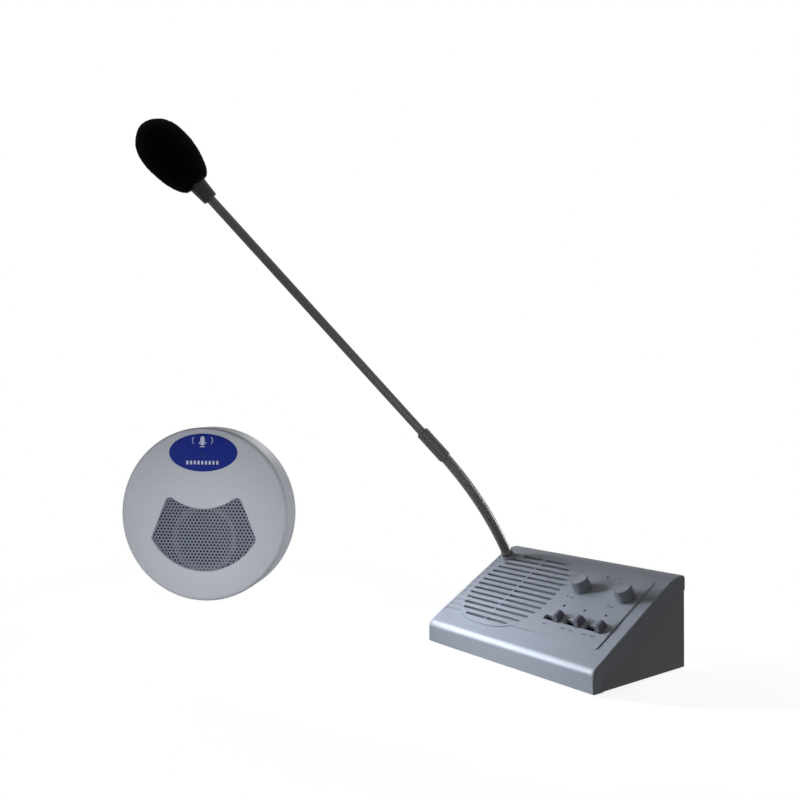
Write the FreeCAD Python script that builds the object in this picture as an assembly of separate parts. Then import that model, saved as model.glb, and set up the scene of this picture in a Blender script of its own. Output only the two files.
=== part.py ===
"""Teller window intercom: a sloped desk console with a gooseneck microphone, and a round window unit.

Millimetres, +Z up. The origin is the centre of the console's underside, X runs to the console's right
and -Y is its front. The rubber feet reach below Z = 0, down to the desk.
"""
import FreeCAD
import Part
import os
from math import acos, atan2, cos, degrees, hypot, pi, radians, sin, sqrt, tan

Vec = FreeCAD.Vector
UP = Vec(0, 0, 1)

# ---- clearances ----------------------------------------------------------------------------------
RUN_GAP = 0.05        # radial gap of a shaft that turns in its bush
FIT_GAP = 0.02        # radial gap of a piece pushed into its seat
MOVE_GAP = 0.3        # gap between pieces that move past each other
SOFT_GAP = 0.3        # gap between the foam and what it sits on
SLIP_GAP = 0.2        # gap between mouldings that slip into each other

# ---- console case --------------------------------------------------------------------------------
console_width = 200.0
console_depth = 120.0
console_height = 78.0
front_height = 17.8           # height of the front edge, where the slope begins
top_strip = 14.5              # flat strip behind the slope
case_wall = 2.6
skirt_height = 19.3           # how far the top shell reaches down over its sides, below the slope
skirt_front = 11.4            # the skirt reaches the desk over this first stretch
base_inset = 1.0              # the base shell stands back from the top shell's sides
parting_gap = 0.4             # dark line between the two shells
lip_height = 4.0              # tongue of the base shell inside the skirt
front_edge_radius = 7.0
crown_reach = 10.1            # the soft bend into the top strip takes that much of the slope
rear_edge_radius = 2.5
side_edge_radius = 1.6
inner_edge_radius = 1.0

# ---- panel: places are (x from the middle, s up the slope from its front edge) -------------------
plate_rise = 0.8              # raised field that holds the grille and the controls
plate_right_margin = 12.7     # from its right edge to the console's side
plate_front = 21.8
plate_back_margin = 10.5      # from its back edge to the crest of the slope
plate_corner = 2.5
plate_edge_radius = 0.6
grille_x = -41.0
grille_front = 17.8           # where the grille starts up the slope
grille_back_margin = 5.7      # from its back end to the crest
grille_half_width = 47.0
grille_roundness = 2.6        # exponent of the grille's rounded outline
grille_border = 3.2
grille_rows = 14
grille_end_margin = 4.8       # from the grille's end to its outermost row
slot_height = 2.7
grille_rib = 2.2              # upright rib that splits every slot
groove_depth = 0.5            # the slots run on as shallow grooves to the left edge
groove_margin = 3.5
right_groove_rows = 5         # the uppermost rows run on to the right too
right_groove_end = 12.0       # as far as this x

# ---- console loudspeaker -------------------------------------------------------------------------
speaker_rim_margin = 3.0      # the loudspeaker is that much smaller than the grille
speaker_depth = 34.0
speaker_magnet_radius = 22.0
basket_share = 0.62           # share of a loudspeaker's depth in front of its magnet
neck_share = 0.9              # radius of a basket's neck against its magnet's
magnet_plate_share = 0.88     # radius of the magnet's plates
magnet_plate = 3.0
magnet_pole_share = 0.3
magnet_gap_share = 0.38
voice_share = 0.35            # radius of the dust cap against the magnet's
cone_share = 0.7              # depth of the cone against the basket's
surround_width = 4.0          # rolled edge of the cone
dust_cap_rise = 2.0
rim_thickness = 1.2
rim_width = 5.0
basket_wall = 1.0
basket_windows = 4
window_half_share = 0.45      # half width of a basket window against the magnet
window_back_share = 0.85      # where a basket window ends and starts, against the basket's depth
window_front_share = 0.3
cone_wall = 0.6
clamp_screw_length = 3.2
screen_thickness = 0.6
screen_margin = 2.0           # the dust screen stops inside the loudspeaker's rim
speaker_screw_angles = (30.0, 150.0, 210.0, 330.0)
speaker_screw_gap = 0.6       # from the rim to the clamping screws

# ---- knobs and potentiometers --------------------------------------------------------------------
knob_right_x = 73.5
knob_pitch = 47.0
knob_back_margin = 37.0       # from the knobs' middle to the crest
knob_radius = 8.6
knob_top_radius = 8.1
knob_height = 11.2
knob_lift = 0.6               # gap under the knob
knob_edge_radius = 0.7
knob_dish = 0.5               # hollow of the knob's top face
knob_dish_margin = 1.1
knob_cavity_height = 5.2
knob_wall = 1.7
pointer_width = 1.0
pointer_angle = 150.0
pointer_start = 0.35          # where the pointer line starts, as a share of the dish
shaft_end_depth = 2.4         # of the shaft's end under the knob's top
shaft_radius = 3.0
shaft_flat = 0.6
bush_radius = 3.5
bush_height = 4.2             # above the raised field
pot_radius = 8.0
pot_depth = 7.8
pot_back = 1.5
pot_tag_share = 0.6           # half width of the solder tags against the case's radius
pot_tag_reach = 4.0
pot_tag_thickness = 1.2
nut_across = 10.0
nut_height = 2.0

# ---- slide switches and lamps --------------------------------------------------------------------
switch_count = 3
switch_pitch = 22.8
switch_right_x = 70.1
switch_s = 42.0
lamp_above_switch = 17.5
switch_slot_length = 18.0
switch_slot_height = 5.5
lever_stem_length = 5.0
lever_cap_length = 5.6        # along the slot
lever_cap_depth = 11.4        # across the slot
lever_cap_height = 5.6
lever_cap_shift = 1.8         # the cap sits further back than its stem
lever_top_length = 3.0
lever_lift = 0.4
lever_edge_radius = 0.5
switch_case_length = 21.6
switch_case_depth = 9.4
switch_floor = 1.6
lamp_radius = 1.5
lamp_rise = 0.8
lamp_flange = 0.4
lamp_flange_thickness = 1.0
power_lamp_x = 40.3
power_lamp_margin = 6.0       # from the raised field's back edge
lamp_leg_width = 2.0
lamp_leg_thickness = 0.5

# ---- boards inside the console -------------------------------------------------------------------
board_thickness = 1.6
board_screw_length = 6.0
control_board_margin = 2.4
control_post_radius = 2.6
main_board_length = 98.0
main_board_margin = 46.0      # the console's depth less the board's
main_board_x = 38.0
main_board_y = 4.0
main_board_lift = 6.0
board_post_inset = 5.0
board_post_radius = 3.0
sink_length = 40.0
sink_fin_count = 5
sink_fin_pitch = 4.0
sink_height = 20.0
sink_plate = 2.0
capacitor_radius = 5.0
capacitor_height = 14.0
capacitor_pitch = 13.0
capacitor_edge_radius = 0.6

# ---- screws, feet and sockets --------------------------------------------------------------------
screw_radius = 1.5
screw_head_radius = 2.9
screw_head_height = 1.8
screw_cross_reach = 1.8
screw_cross_half = 0.3
pilot_gap = 0.05
boss_radius = 3.8
boss_x = 86.0
boss_front_y = -44.0
boss_rear_y = 49.5
boss_root = 0.5               # how far a boss runs into the wall above it
screw_length = 14.0
foot_radius = 7.0
foot_height = 2.0
foot_x = 72.0
foot_y = 44.0
foot_pocket = 0.6
socket_height = 22.0          # centre height of the rear sockets
socket_pitch = 30.0
socket_first_x = -60.0
socket_bush_radius = 5.0
socket_flange_radius = 6.6
socket_flange_thickness = 1.0
socket_body_length = 16.0
socket_body_width = 13.0
link_bore_radius = 3.2        # 6.35 mm plug for the window unit
line_bore_radius = 1.8        # 3.5 mm plug
power_bore_radius = 2.8
power_pin_radius = 1.05
socket_bore_depth = 12.0

# ---- gooseneck microphone ------------------------------------------------------------------------
neck_x = -84.9
neck_back_margin = 14.9       # from the neck's middle to the crest
neck_turn_side = -20.7        # final heading of the tube: degrees to the left of straight ahead
neck_turn_up = 46.6           # and degrees above the horizontal
neck_pad_radius = 6.6         # round pad moulded on the panel under the collar
neck_pad_height = 4.0
collar_radius = 5.9
collar_straight = 3.5
collar_taper = 1.6
neck_first_joint = 14.8       # height of the first joint centre above the panel
neck_stub_radius = 5.0
neck_stub_length = 9.0
neck_nut_across = 15.0
neck_nut_height = 4.0
neck_joints = 6
neck_pitch = 21.0             # joint centre to joint centre
neck_radius = 4.8
ball_radius = 3.6
ball_face = 0.8               # lower face of a link, above its joint centre
cup_rim = 0.5                 # rim of a link's cup, below the next joint centre
wire_bore_radius = 1.8
ferrule_radius = 6.3
ferrule_start = 7.0
ferrule_length = 34.0
ferrule_chamfer = 1.2
tube_radius = 4.15
tube_wall = 0.8
tube_insert = 12.0
tube_visible = 289.0
mic_collar_small_radius = 6.9
mic_collar_large_radius = 8.1
mic_collar_length = 17.0
mic_collar_insert = 6.0
mic_collar_low_chamfer = 0.6
mic_collar_top_chamfer = 0.8
mic_wire_bore_radius = 2.0
capsule_radius = 6.0
capsule_length = 32.0
capsule_edge = 1.5
capsule_slots = 6
capsule_slot_half = 0.8
capsule_slot_start = 0.5      # the sound slots' ends, as shares of the capsule's length
capsule_slot_end = 0.8
foam_length = 68.0
foam_radius = 23.0
foam_neck_radius = 11.5
foam_widest = 0.56            # where the foam is widest, as a share of its length
foam_low_share = 0.36         # a point of its outline below the widest place
foam_low_swell = 2.4
foam_high_share = 0.64        # and one above it
foam_high_radius = 0.78       # with this share of the radius

# ---- round window unit (its own frame: x right, y up, z out of its face) -------------------------
unit_radius = 100.0
unit_depth = 36.0
unit_wall = 3.0
unit_front_inside = 32.0      # inner side of the front wall, above the back face
unit_dome = 1.5               # rise of the face towards its middle
unit_edge_radius = 4.0
unit_x = -416.0               # where the middle of its back stands
unit_y = -130.0
unit_heading = -46.0          # direction it faces, from +X
back_plate_thickness = 2.5
gasket_width = 9.0
gasket_thickness = 1.5
gasket_inset = 0.5
badge_margin = 29.0           # from the badge's middle up to the rim
badge_half_width = 40.9
badge_half_height = 21.7
badge_proud = 0.4
badge_sunk = 0.8
badge_gap = 0.15
mic_hole_drop = 2.8           # the hole lies under the badge's middle
mic_hole_radius = 1.4
fan_top_radius = 65.0         # concave upper edge, struck from the badge's middle
fan_bottom_radius = 72.2      # convex lower edge
fan_bottom_centre_y = 7.1
fan_top_half = 42.8           # half width where its straight sides start
fan_low_half = 62.8           # and where they end
fan_corner_radius = 5.6
fan_rim_radius = 2.2          # soft rim of the opening
mesh_thickness = 0.8
mesh_overlap = 4.0
unit_speaker_y = -28.0
unit_speaker_radius = 38.0
unit_speaker_depth = 25.0
unit_magnet_radius = 18.0
boot_radius = 7.5
boot_length = 8.0
unit_capsule_radius = 4.9
unit_capsule_length = 5.0
case_screw_margin = 10.0      # from the case screws to the rim
case_screw_angles = (30.0, 150.0, 270.0)
wall_hole_margin = 20.0       # from the fixing holes to the rim
wall_hole_angles = (90.0, 210.0, 330.0)
wall_hole_radius = 2.25
cable_hole_radius = 5.0
terminal_length = 24.0
terminal_width = 11.0
terminal_height = 10.0
terminal_y = 46.0
terminal_ways = 4
terminal_mouth = 1.5          # floor under the wire mouths
terminal_mouth_share = 0.45   # height of the wire mouths against the block's

# ---- worked-out sizes ----------------------------------------------------------------------------
half_width = console_width / 2
front_y = -console_depth / 2
rear_y = console_depth / 2
slope = atan2(console_height - front_height, console_depth - top_strip)
slope_length = hypot(console_height - front_height, console_depth - top_strip)
crown_radius = crown_reach / tan(slope / 2)
plate_right = half_width - plate_right_margin
plate_back = slope_length - plate_back_margin
grille_half_height = (slope_length - grille_back_margin - grille_front) / 2
grille_s = grille_front + grille_half_height
grille_pitch = 2 * (grille_half_height - grille_end_margin) / (grille_rows - 1)
speaker_radius = grille_half_height - speaker_rim_margin
knob_s = slope_length - knob_back_margin
lamp_s = switch_s + lamp_above_switch
power_lamp_s = plate_back - power_lamp_margin
neck_s = slope_length - neck_back_margin
knob_floor = plate_rise + knob_lift
main_board_depth = console_depth - main_board_margin
main_board_z = case_wall + main_board_lift
badge_y = unit_radius - badge_margin
mic_hole_y = badge_y - mic_hole_drop
case_screw_circle = unit_radius - case_screw_margin
wall_hole_circle = unit_radius - wall_hole_margin
PANEL = FreeCAD.Placement(Vec(0, front_y, front_height), FreeCAD.Rotation(Vec(1, 0, 0), degrees(slope)))
knob_xs = {"inside": knob_right_x - knob_pitch, "outside": knob_right_x}
switch_xs = [switch_right_x - switch_pitch * (switch_count - 1 - i) for i in range(switch_count)]
panel_under = -case_wall                       # underside of the panel, in panel height
control_board_top = panel_under - pot_depth
lever_rest_shift = (switch_slot_length - lever_stem_length - (MOVE_GAP * 2)) / 2
UNIT = FreeCAD.Placement(
    Vec(unit_x, unit_y, unit_radius - foot_height),
    FreeCAD.Rotation(UP, unit_heading + 90) * FreeCAD.Rotation(Vec(1, 0, 0), 90))


# ---- small helpers -------------------------------------------------------------------------------
def block(x0, x1, y0, y1, z0, z1):
    """A box between two corners."""
    return Part.makeBox(x1 - x0, y1 - y0, z1 - z0, Vec(x0, y0, z0))


def rod(radius, z0, z1, x=0.0, y=0.0):
    """An upright cylinder."""
    return Part.makeCylinder(radius, z1 - z0, Vec(x, y, z0))


def hexagon(across, z0, z1, x=0.0, y=0.0):
    """An upright hexagonal prism, measured across its flats."""
    r = across / 2 / cos(pi / 6)
    pts = [Vec(x + r * cos(i * pi / 3), y + r * sin(i * pi / 3), z0) for i in range(6)]
    return Part.Face(Part.makePolygon(pts + pts[:1])).extrude(Vec(0, 0, z1 - z0))


def rounded_wire(points, radii):
    """A closed outline through 3-D points in one plane, each corner rounded by its own radius."""
    edges, count = [], len(points)
    ends = []
    for i, corner in enumerate(points):
        before = (points[i - 1] - corner).normalize()
        after = (points[(i + 1) % count] - corner).normalize()
        if radii[i] <= 0:
            ends.append((corner, None, corner))
            continue
        half = before.getAngle(after) / 2
        reach = radii[i] / tan(half)
        middle = (before + after).normalize()
        inner = corner + middle * (radii[i] / sin(half) - radii[i])
        ends.append((corner + before * reach, inner, corner + after * reach))
    for i in range(count):
        start, inner, stop = ends[i]
        if inner is not None:
            edges.append(Part.Arc(start, inner, stop).toShape())
        nxt = ends[(i + 1) % count][0]
        if (nxt - stop).Length > 1e-6:
            edges.append(Part.LineSegment(stop, nxt).toShape())
    return Part.Wire(edges)


def prism(points, radii, x0, x1):
    """Extrude a side view, given as (y, z) corners, from x0 to x1."""
    wire = rounded_wire([Vec(x0, y, z) for y, z in points], radii)
    return Part.Face(wire).extrude(Vec(x1 - x0, 0, 0))


def lathe(edges):
    """Turn a closed outline in the XZ plane about Z."""
    return Part.Face(Part.Wire(edges)).revolve(Vec(0, 0, 0), UP, 360)


def turned(points):
    """Turn a polygon of (radius, height) corners about Z."""
    pts = [Vec(r, 0, z) for r, z in points]
    return lathe(Part.makePolygon(pts + pts[:1]).Edges)


def fuse(shapes):
    """Join shapes into one clean solid."""
    first, rest = shapes[0], shapes[1:]
    return first.fuse(rest).removeSplitter() if rest else first


def on_panel(shape):
    """Place a shape made in panel coordinates: x, s up the slope, height out of the slope."""
    placed = shape.copy()
    placed.Placement = PANEL.multiply(placed.Placement)
    return placed


def on_unit(shape):
    """Place a shape made in the window unit's own frame."""
    placed = shape.copy()
    placed.Placement = UNIT.multiply(placed.Placement)
    return placed


def screw(x, y, head_z, length, direction=1):
    """A pan-head screw; its head's seat is at head_z and its shank runs along direction."""
    head_far = head_z - direction * screw_head_height
    tip = head_z + direction * length
    head = rod(screw_head_radius, min(head_z, head_far), max(head_z, head_far), x, y)
    shank = rod(screw_radius, min(head_z, tip), max(head_z, tip), x, y)
    low, high = sorted((head_far, head_far + direction))
    cross = [block(x - i, x + i, y - j, y + j, low, high)
             for i, j in ((screw_cross_reach, screw_cross_half), (screw_cross_half, screw_cross_reach))]
    return fuse([head, shank]).cut(cross)


# ---- console case --------------------------------------------------------------------------------
def slope_z(y, inset=0.0):
    """Height of the sloped panel at depth y, or of a surface that lies inset below it."""
    return front_height + (y - front_y) * tan(slope) - inset / cos(slope)


def parting_z(y):
    """Height of the parting line between the two shells."""
    return slope_z(y) - skirt_height


def console_profile(inset, low):
    """Side view (y, z) of the console, moved in by inset and open down to low."""
    crest_y = front_y + (console_height - inset - front_height + inset / cos(slope)) / tan(slope)
    return [(front_y + inset, low), (front_y + inset, slope_z(front_y + inset, inset)),
            (crest_y, console_height - inset), (rear_y - inset, console_height - inset),
            (rear_y - inset, low)]


def below_parting(x0, x1, rise, front, rear):
    """Wedge under the parting line, raised by rise, from depth front to depth rear."""
    low = -foot_height - 1
    return prism([(front, low), (front, parting_z(front) + rise),
                  (rear, parting_z(rear) + rise), (rear, low)],
                 [0, 0, 0, 0], x0, x1)


def grille_reach(s):
    """Half the grille's width at height s, from its rounded outline."""
    share = min(1.0, abs(s - grille_s) / grille_half_height)
    return grille_half_width * (1 - share ** grille_roundness) ** (1 / grille_roundness)


def grille_outline(grow, height):
    """Rounded outline of the grille field, as a closed curve at a panel height."""
    pts = []
    steps = 24
    for i in range(steps):
        a = 2 * pi * i / steps
        c, d = cos(a), sin(a)
        power = 2 / grille_roundness
        x = (grille_half_width + grow) * abs(c) ** power * (1 if c >= 0 else -1)
        s = (grille_half_height + grow) * abs(d) ** power * (1 if d >= 0 else -1)
        pts.append(Vec(grille_x + x, grille_s + s, height))
    curve = Part.BSplineCurve()
    curve.interpolate(pts, PeriodicFlag=True)
    return Part.Wire([curve.toShape()])


def raised_field():
    """The raised field: the grille's rounded surround joined to the rectangle of the controls."""
    root = -case_wall / 2
    rise = Vec(0, 0, plate_rise - root)

    def softened(outline):
        block_of = Part.Face(outline).extrude(rise)
        rim = [e for e in block_of.Edges if e.BoundBox.ZMin > plate_rise - 1e-3]
        return block_of.makeFillet(plate_edge_radius, rim)

    corners = [Vec(grille_x, plate_front, root), Vec(plate_right, plate_front, root),
               Vec(plate_right, plate_back, root), Vec(grille_x, plate_back, root)]
    square = rounded_wire(corners, [0, plate_corner, plate_corner, 0])
    return fuse([softened(square), softened(grille_outline(grille_border, root))])


def grille_row_s(row):
    """How far up the slope a row of slots lies."""
    return grille_s + (row - (grille_rows - 1) / 2) * grille_pitch


def grille_cuts():
    """Through slots inside the grille's outline."""
    cuts = []
    for row in range(grille_rows):
        s = grille_row_s(row)
        reach = grille_reach(s)
        low, high = s - slot_height / 2, s + slot_height / 2
        for x0, x1 in ((-reach, -grille_rib / 2), (grille_rib / 2, reach)):
            cuts.append(block(grille_x + x0, grille_x + x1, low, high, -case_wall - 1, plate_rise + 1))
    return cuts


def side_grooves():
    """Shallow grooves that carry the rows of slots on to the panel's left edge."""
    cuts = []
    for row in range(grille_rows):
        s = grille_row_s(row)
        cuts.append(block(-half_width + groove_margin, grille_x - grille_reach(s) - grille_border - 1,
                          s - slot_height / 2, s + slot_height / 2, -groove_depth, 1))
    return cuts


def upper_grooves():
    """Shallow grooves in the raised field that carry the uppermost rows on to the right."""
    cuts = []
    for row in range(grille_rows - right_groove_rows, grille_rows):
        s = grille_row_s(row)
        cuts.append(block(grille_x + grille_reach(s) + grille_rib / 2, right_groove_end,
                          s - slot_height / 2, s + slot_height / 2, plate_rise - groove_depth, plate_rise + 1))
    return cuts


def speaker_clamp_places():
    """Panel places of the four screws that clamp the loudspeaker's rim."""
    ring = speaker_radius + screw_radius + speaker_screw_gap
    return [(grille_x + ring * cos(radians(a)), grille_s + ring * sin(radians(a)))
            for a in speaker_screw_angles]


def control_post_places():
    """Panel places of the posts that carry the control board."""
    left, right = min(knob_xs.values()), max(knob_xs.values())
    return [((left + right) / 2, (lamp_s + knob_s) / 2 - 4), (left - pot_radius - 3, power_lamp_s - 4),
            (right + pot_radius + 2, power_lamp_s - 4)]


def control_holes():
    """Everything that passes through the panel at the controls and the neck."""
    low, high = -case_wall - 1, plate_rise + 1
    holes = [rod(bush_radius + SLIP_GAP / 2, low, high, x, knob_s) for x in knob_xs.values()]
    for x in switch_xs:
        slot = block(x - switch_slot_length / 2, x + switch_slot_length / 2,
                     switch_s - switch_slot_height / 2, switch_s + switch_slot_height / 2, low, high)
        holes.append(slot)
        holes.append(rod(lamp_radius + FIT_GAP, low, high, x, lamp_s))
    holes.append(rod(lamp_radius + FIT_GAP, low, high, power_lamp_x, power_lamp_s))
    holes.append(rod(neck_stub_radius + SLIP_GAP / 2, low, neck_pad_height + 1, neck_x, neck_s))
    holes.append(rod(neck_nut_across / 2 / cos(pi / 6) + SLIP_GAP, panel_under - neck_stub_length, panel_under,
                     neck_x, neck_s))
    return holes


def boss_places():
    """Plan places of the four case bosses."""
    return [(side * boss_x, y) for side in (-1, 1) for y in (boss_front_y, boss_rear_y)]


def console_top_shell():
    """Front, sloped panel, top strip and skirts, with all that is moulded under them."""
    outer = prism(console_profile(0, 0), [0, front_edge_radius, crown_radius, rear_edge_radius, 0],
                  -half_width, half_width)
    sides = [e for e in outer.Edges
             if abs(abs(e.CenterOfMass.x) - half_width) < 1e-3 and e.BoundBox.ZMax > 1e-3]
    outer = outer.makeFillet(side_edge_radius, sides)
    inner = prism(console_profile(case_wall, -1), [0, inner_edge_radius, crown_radius, inner_edge_radius, 0],
                  -half_width + case_wall, half_width - case_wall)
    shell = outer.cut(inner)
    shell = shell.cut(below_parting(-half_width - 1, half_width + 1, 0, front_y + skirt_front, rear_y + 1))
    shell = shell.cut([on_panel(groove) for groove in side_grooves()])
    neck_pad = rod(neck_pad_radius, -case_wall / 2, neck_pad_height, neck_x, neck_s)
    shell = shell.fuse([on_panel(raised_field()), on_panel(neck_pad)])
    posts = []
    posts += [rod(boss_radius, case_wall, console_height, x, y) for x, y in boss_places()]
    for x, s in speaker_clamp_places():
        posts.append(on_panel(rod(boss_radius, panel_under - screen_thickness - rim_thickness,
                                  -case_wall / 2, x, s)))
    for x, s in control_post_places():
        posts.append(on_panel(rod(control_post_radius, control_board_top, -case_wall / 2, x, s)))
    posts = [post.common(outer) for post in posts]
    seat = on_panel(rod(speaker_radius + SLIP_GAP, panel_under - screen_thickness - rim_thickness - 1,
                        panel_under, grille_x, grille_s))
    posts = [post.cut(seat) for post in posts]
    shell = shell.fuse(posts).removeSplitter()
    pilots = [rod(screw_radius + pilot_gap, case_wall - 1, case_wall + screw_length, x, y)
              for x, y in boss_places()]
    under = panel_under - screen_thickness - rim_thickness
    pilots += [on_panel(rod(screw_radius + pilot_gap, under - 1, under + clamp_screw_length, x, s))
               for x, s in speaker_clamp_places()]
    pilots += [on_panel(rod(screw_radius + pilot_gap, control_board_top - 1,
                            control_board_top + board_screw_length, x, s)) for x, s in control_post_places()]
    cuts = pilots + [on_panel(c) for c in grille_cuts() + upper_grooves() + control_holes()]
    return shell.cut(cuts)


def socket_places():
    """Plan places of the rear sockets, left to right: power, window unit, line output."""
    return [socket_first_x + socket_pitch * i for i in range(3)]


def board_post_places():
    """Plan places of the posts under the main board."""
    dx = main_board_length / 2 - board_post_inset
    dy = main_board_depth / 2 - board_post_inset
    return [(main_board_x + i * dx, main_board_y + j * dy) for i in (-1, 1) for j in (-1, 1)]


def console_base_shell():
    """Floor, side triangles, back wall and the tongue that slips inside the top shell."""
    side_out = half_width - base_inset
    side_in = half_width - case_wall - SLIP_GAP
    front_in = front_y + case_wall + SLIP_GAP
    back_out = rear_y - base_inset
    back_in = rear_y - case_wall - SLIP_GAP
    side_front = front_y + skirt_front + SLIP_GAP
    floor = block(-side_in, side_in, front_in, back_in, 0, case_wall)
    wide = below_parting(-side_out, side_out, -parting_gap, side_front, back_out)
    tongue = below_parting(-side_in, side_in, lip_height, side_front, back_in)
    above_floor = block(-half_width, half_width, front_y, rear_y, 0, console_height)
    body = wide.fuse(tongue).common(above_floor)
    hollow = block(-side_in + case_wall, side_in - case_wall, front_y - 1, back_in - case_wall,
                   case_wall, console_height)
    base = fuse([body.cut(hollow), floor])
    posts = [rod(board_post_radius, case_wall, case_wall + main_board_lift, x, y)
             for x, y in board_post_places()]
    base = base.fuse(posts).removeSplitter()
    cuts = []
    for x, y in boss_places():
        cuts.append(rod(screw_radius + SLIP_GAP, -1, case_wall + 1, x, y))
        cuts.append(rod(screw_head_radius + SLIP_GAP, -1, foot_pocket, x, y))
        cuts.append(rod(boss_radius + SLIP_GAP, case_wall, console_height, x, y))
    for x, y in board_post_places():
        cuts.append(rod(screw_radius + pilot_gap, case_wall, case_wall + main_board_lift + 1, x, y))
    for i in (-1, 1):
        for j in (-1, 1):
            cuts.append(rod(foot_radius + FIT_GAP, -1, foot_pocket, i * foot_x, j * foot_y))
    for x in socket_places():
        hole = Part.makeCylinder(socket_bush_radius + FIT_GAP, case_wall * 4, Vec(x, back_out + 1, socket_height),
                                 Vec(0, -1, 0))
        cuts.append(hole)
    return base.cut(cuts)


def rubber_feet():
    """Four feet pressed into the pockets of the underside."""
    feet = []
    for i in (-1, 1):
        for j in (-1, 1):
            foot = rod(foot_radius, -foot_height, foot_pocket, i * foot_x, j * foot_y)
            low = [e for e in foot.Edges if e.BoundBox.ZMax < -foot_height + 1e-3]
            feet.append(foot.makeFillet(foot_height / 4, low))
    return Part.makeCompound(feet)


def base_screws():
    """The four screws that hold the base shell to the top shell's bosses."""
    return Part.makeCompound([screw(x, y, foot_pocket, screw_length) for x, y in boss_places()])


# ---- loudspeakers --------------------------------------------------------------------------------
def speaker_frame(radius, depth, magnet_radius):
    """Pressed basket: rim at z = 0, back plate in front of the magnet, four windows."""
    back = depth * basket_share
    neck = magnet_radius * neck_share
    basket = turned([(radius - rim_width, -rim_thickness), (radius - rim_width, 0), (radius, 0),
                     (radius, -rim_thickness), (radius - rim_width + basket_wall, -rim_thickness),
                     (neck + basket_wall, -back), (neck + basket_wall, -back - basket_wall),
                     (neck / 2, -back - basket_wall), (neck / 2, -back), (neck, -back)])
    windows = []
    half = magnet_radius * window_half_share
    for i in range(basket_windows):
        window = block(neck * neck_share, radius, -half, half,
                       -back * window_back_share, -back * window_front_share)
        window.rotate(Vec(0, 0, 0), UP, (i + 0.5) * 360 / basket_windows)
        windows.append(window)
    return basket.cut(windows)


def speaker_cone(radius, depth, magnet_radius):
    """Paper cone with its roll surround and dust cap."""
    back = depth * basket_share
    outer = radius - rim_width - MOVE_GAP
    roll = outer - surround_width
    crest = outer - surround_width / 2
    voice = magnet_radius * voice_share
    cone_low = -back * cone_share
    cap = cone_low + dust_cap_rise
    outline = [(0, cap + cone_wall), (voice, cone_low + cone_wall), (roll, -rim_thickness + cone_wall),
               (crest, -rim_thickness / 2 + cone_wall), (outer, -rim_thickness + cone_wall),
               (outer, -rim_thickness), (crest, -rim_thickness / 2), (roll, -rim_thickness),
               (voice, cone_low), (voice, -back - basket_wall), (voice - cone_wall, -back - basket_wall),
               (voice - cone_wall, cone_low), (0, cap)]
    return turned(outline)


def speaker_magnet(radius, depth, magnet_radius):
    """Ring magnet with its front and back plates, behind the basket."""
    start = depth * basket_share + basket_wall
    pole = magnet_radius * magnet_pole_share
    gap = magnet_radius * magnet_gap_share
    disc = magnet_radius * magnet_plate_share
    return turned([(0, -depth), (0, -start), (pole, -start), (pole, -depth + magnet_plate),
                   (gap, -depth + magnet_plate), (gap, -start), (disc, -start), (disc, -start - magnet_plate),
                   (magnet_radius, -start - magnet_plate), (magnet_radius, -depth + magnet_plate),
                   (disc, -depth + magnet_plate), (disc, -depth)])


def in_grille(shape):
    """Place a loudspeaker piece under the grille, its rim below the dust screen."""
    moved = shape.copy()
    moved.translate(Vec(grille_x, grille_s, panel_under - screen_thickness))
    return on_panel(moved)


def speaker_screen():
    """Thin dust screen between the panel and the loudspeaker's rim."""
    disc = rod(speaker_radius - screen_margin, panel_under - screen_thickness, panel_under, grille_x, grille_s)
    return on_panel(disc)


def speaker_screws():
    """Screws whose heads clamp the loudspeaker's rim."""
    under = panel_under - screen_thickness - rim_thickness
    made = [screw(x, s, under, clamp_screw_length) for x, s in speaker_clamp_places()]
    return Part.makeCompound([on_panel(m) for m in made])


# ---- knobs, potentiometers -----------------------------------------------------------------------
def knob(x):
    """Round knob with a dished top, a pointer line and a cavity over the nut."""
    top = knob_floor + knob_height
    cavity = knob_floor + knob_cavity_height
    body = turned([(0, knob_floor), (knob_radius, knob_floor), (knob_top_radius, top), (0, top)])
    rim = [e for e in body.Edges if abs(e.BoundBox.ZMin - top) < 1e-3 and e.BoundBox.XLength > knob_radius]
    body = body.makeFillet(knob_edge_radius, rim)
    dish_radius = knob_top_radius - knob_dish_margin
    ball = (dish_radius ** 2 + knob_dish ** 2) / (2 * knob_dish)
    dish = Part.makeSphere(ball, Vec(0, 0, top - knob_dish + ball))
    hollow = rod(knob_radius - knob_wall, knob_floor - 1, cavity)
    bore = rod(shaft_radius + FIT_GAP, knob_floor - 1, shaft_tip() + FIT_GAP)
    pointer = block(dish_radius * pointer_start, knob_top_radius + 1, -pointer_width / 2, pointer_width / 2,
                    top - knob_dish - pointer_width / 2, top + 1)
    pointer.rotate(Vec(0, 0, 0), UP, pointer_angle)
    stem = rod(shaft_radius + knob_wall, bush_height + plate_rise + MOVE_GAP, cavity + 0.1)
    body = body.cut(hollow).fuse(stem).removeSplitter().cut([dish, bore, pointer])
    flat = block(-shaft_radius, shaft_radius, shaft_radius - shaft_flat, shaft_radius + 1,
                 bush_height + plate_rise + MOVE_GAP, shaft_tip())
    key = flat.common(rod(shaft_radius + FIT_GAP, knob_floor, shaft_tip()))
    body = fuse([body, key])
    body.translate(Vec(x, knob_s, 0))
    return on_panel(body)


def shaft_tip():
    """Height of the shaft's end inside the knob."""
    return knob_floor + knob_height - shaft_end_depth


def pot_shaft(x):
    """Turning shaft with the flat that keys it to the knob."""
    low = panel_under - pot_depth + pot_back + MOVE_GAP
    shaft = rod(shaft_radius, low, shaft_tip())
    flat = block(-shaft_radius, shaft_radius, shaft_radius - shaft_flat - FIT_GAP, shaft_radius + 1,
                 bush_height + plate_rise + MOVE_GAP, shaft_tip() + 1)
    shaft = shaft.cut(flat)
    shaft.translate(Vec(x, knob_s, 0))
    return on_panel(shaft)


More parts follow.
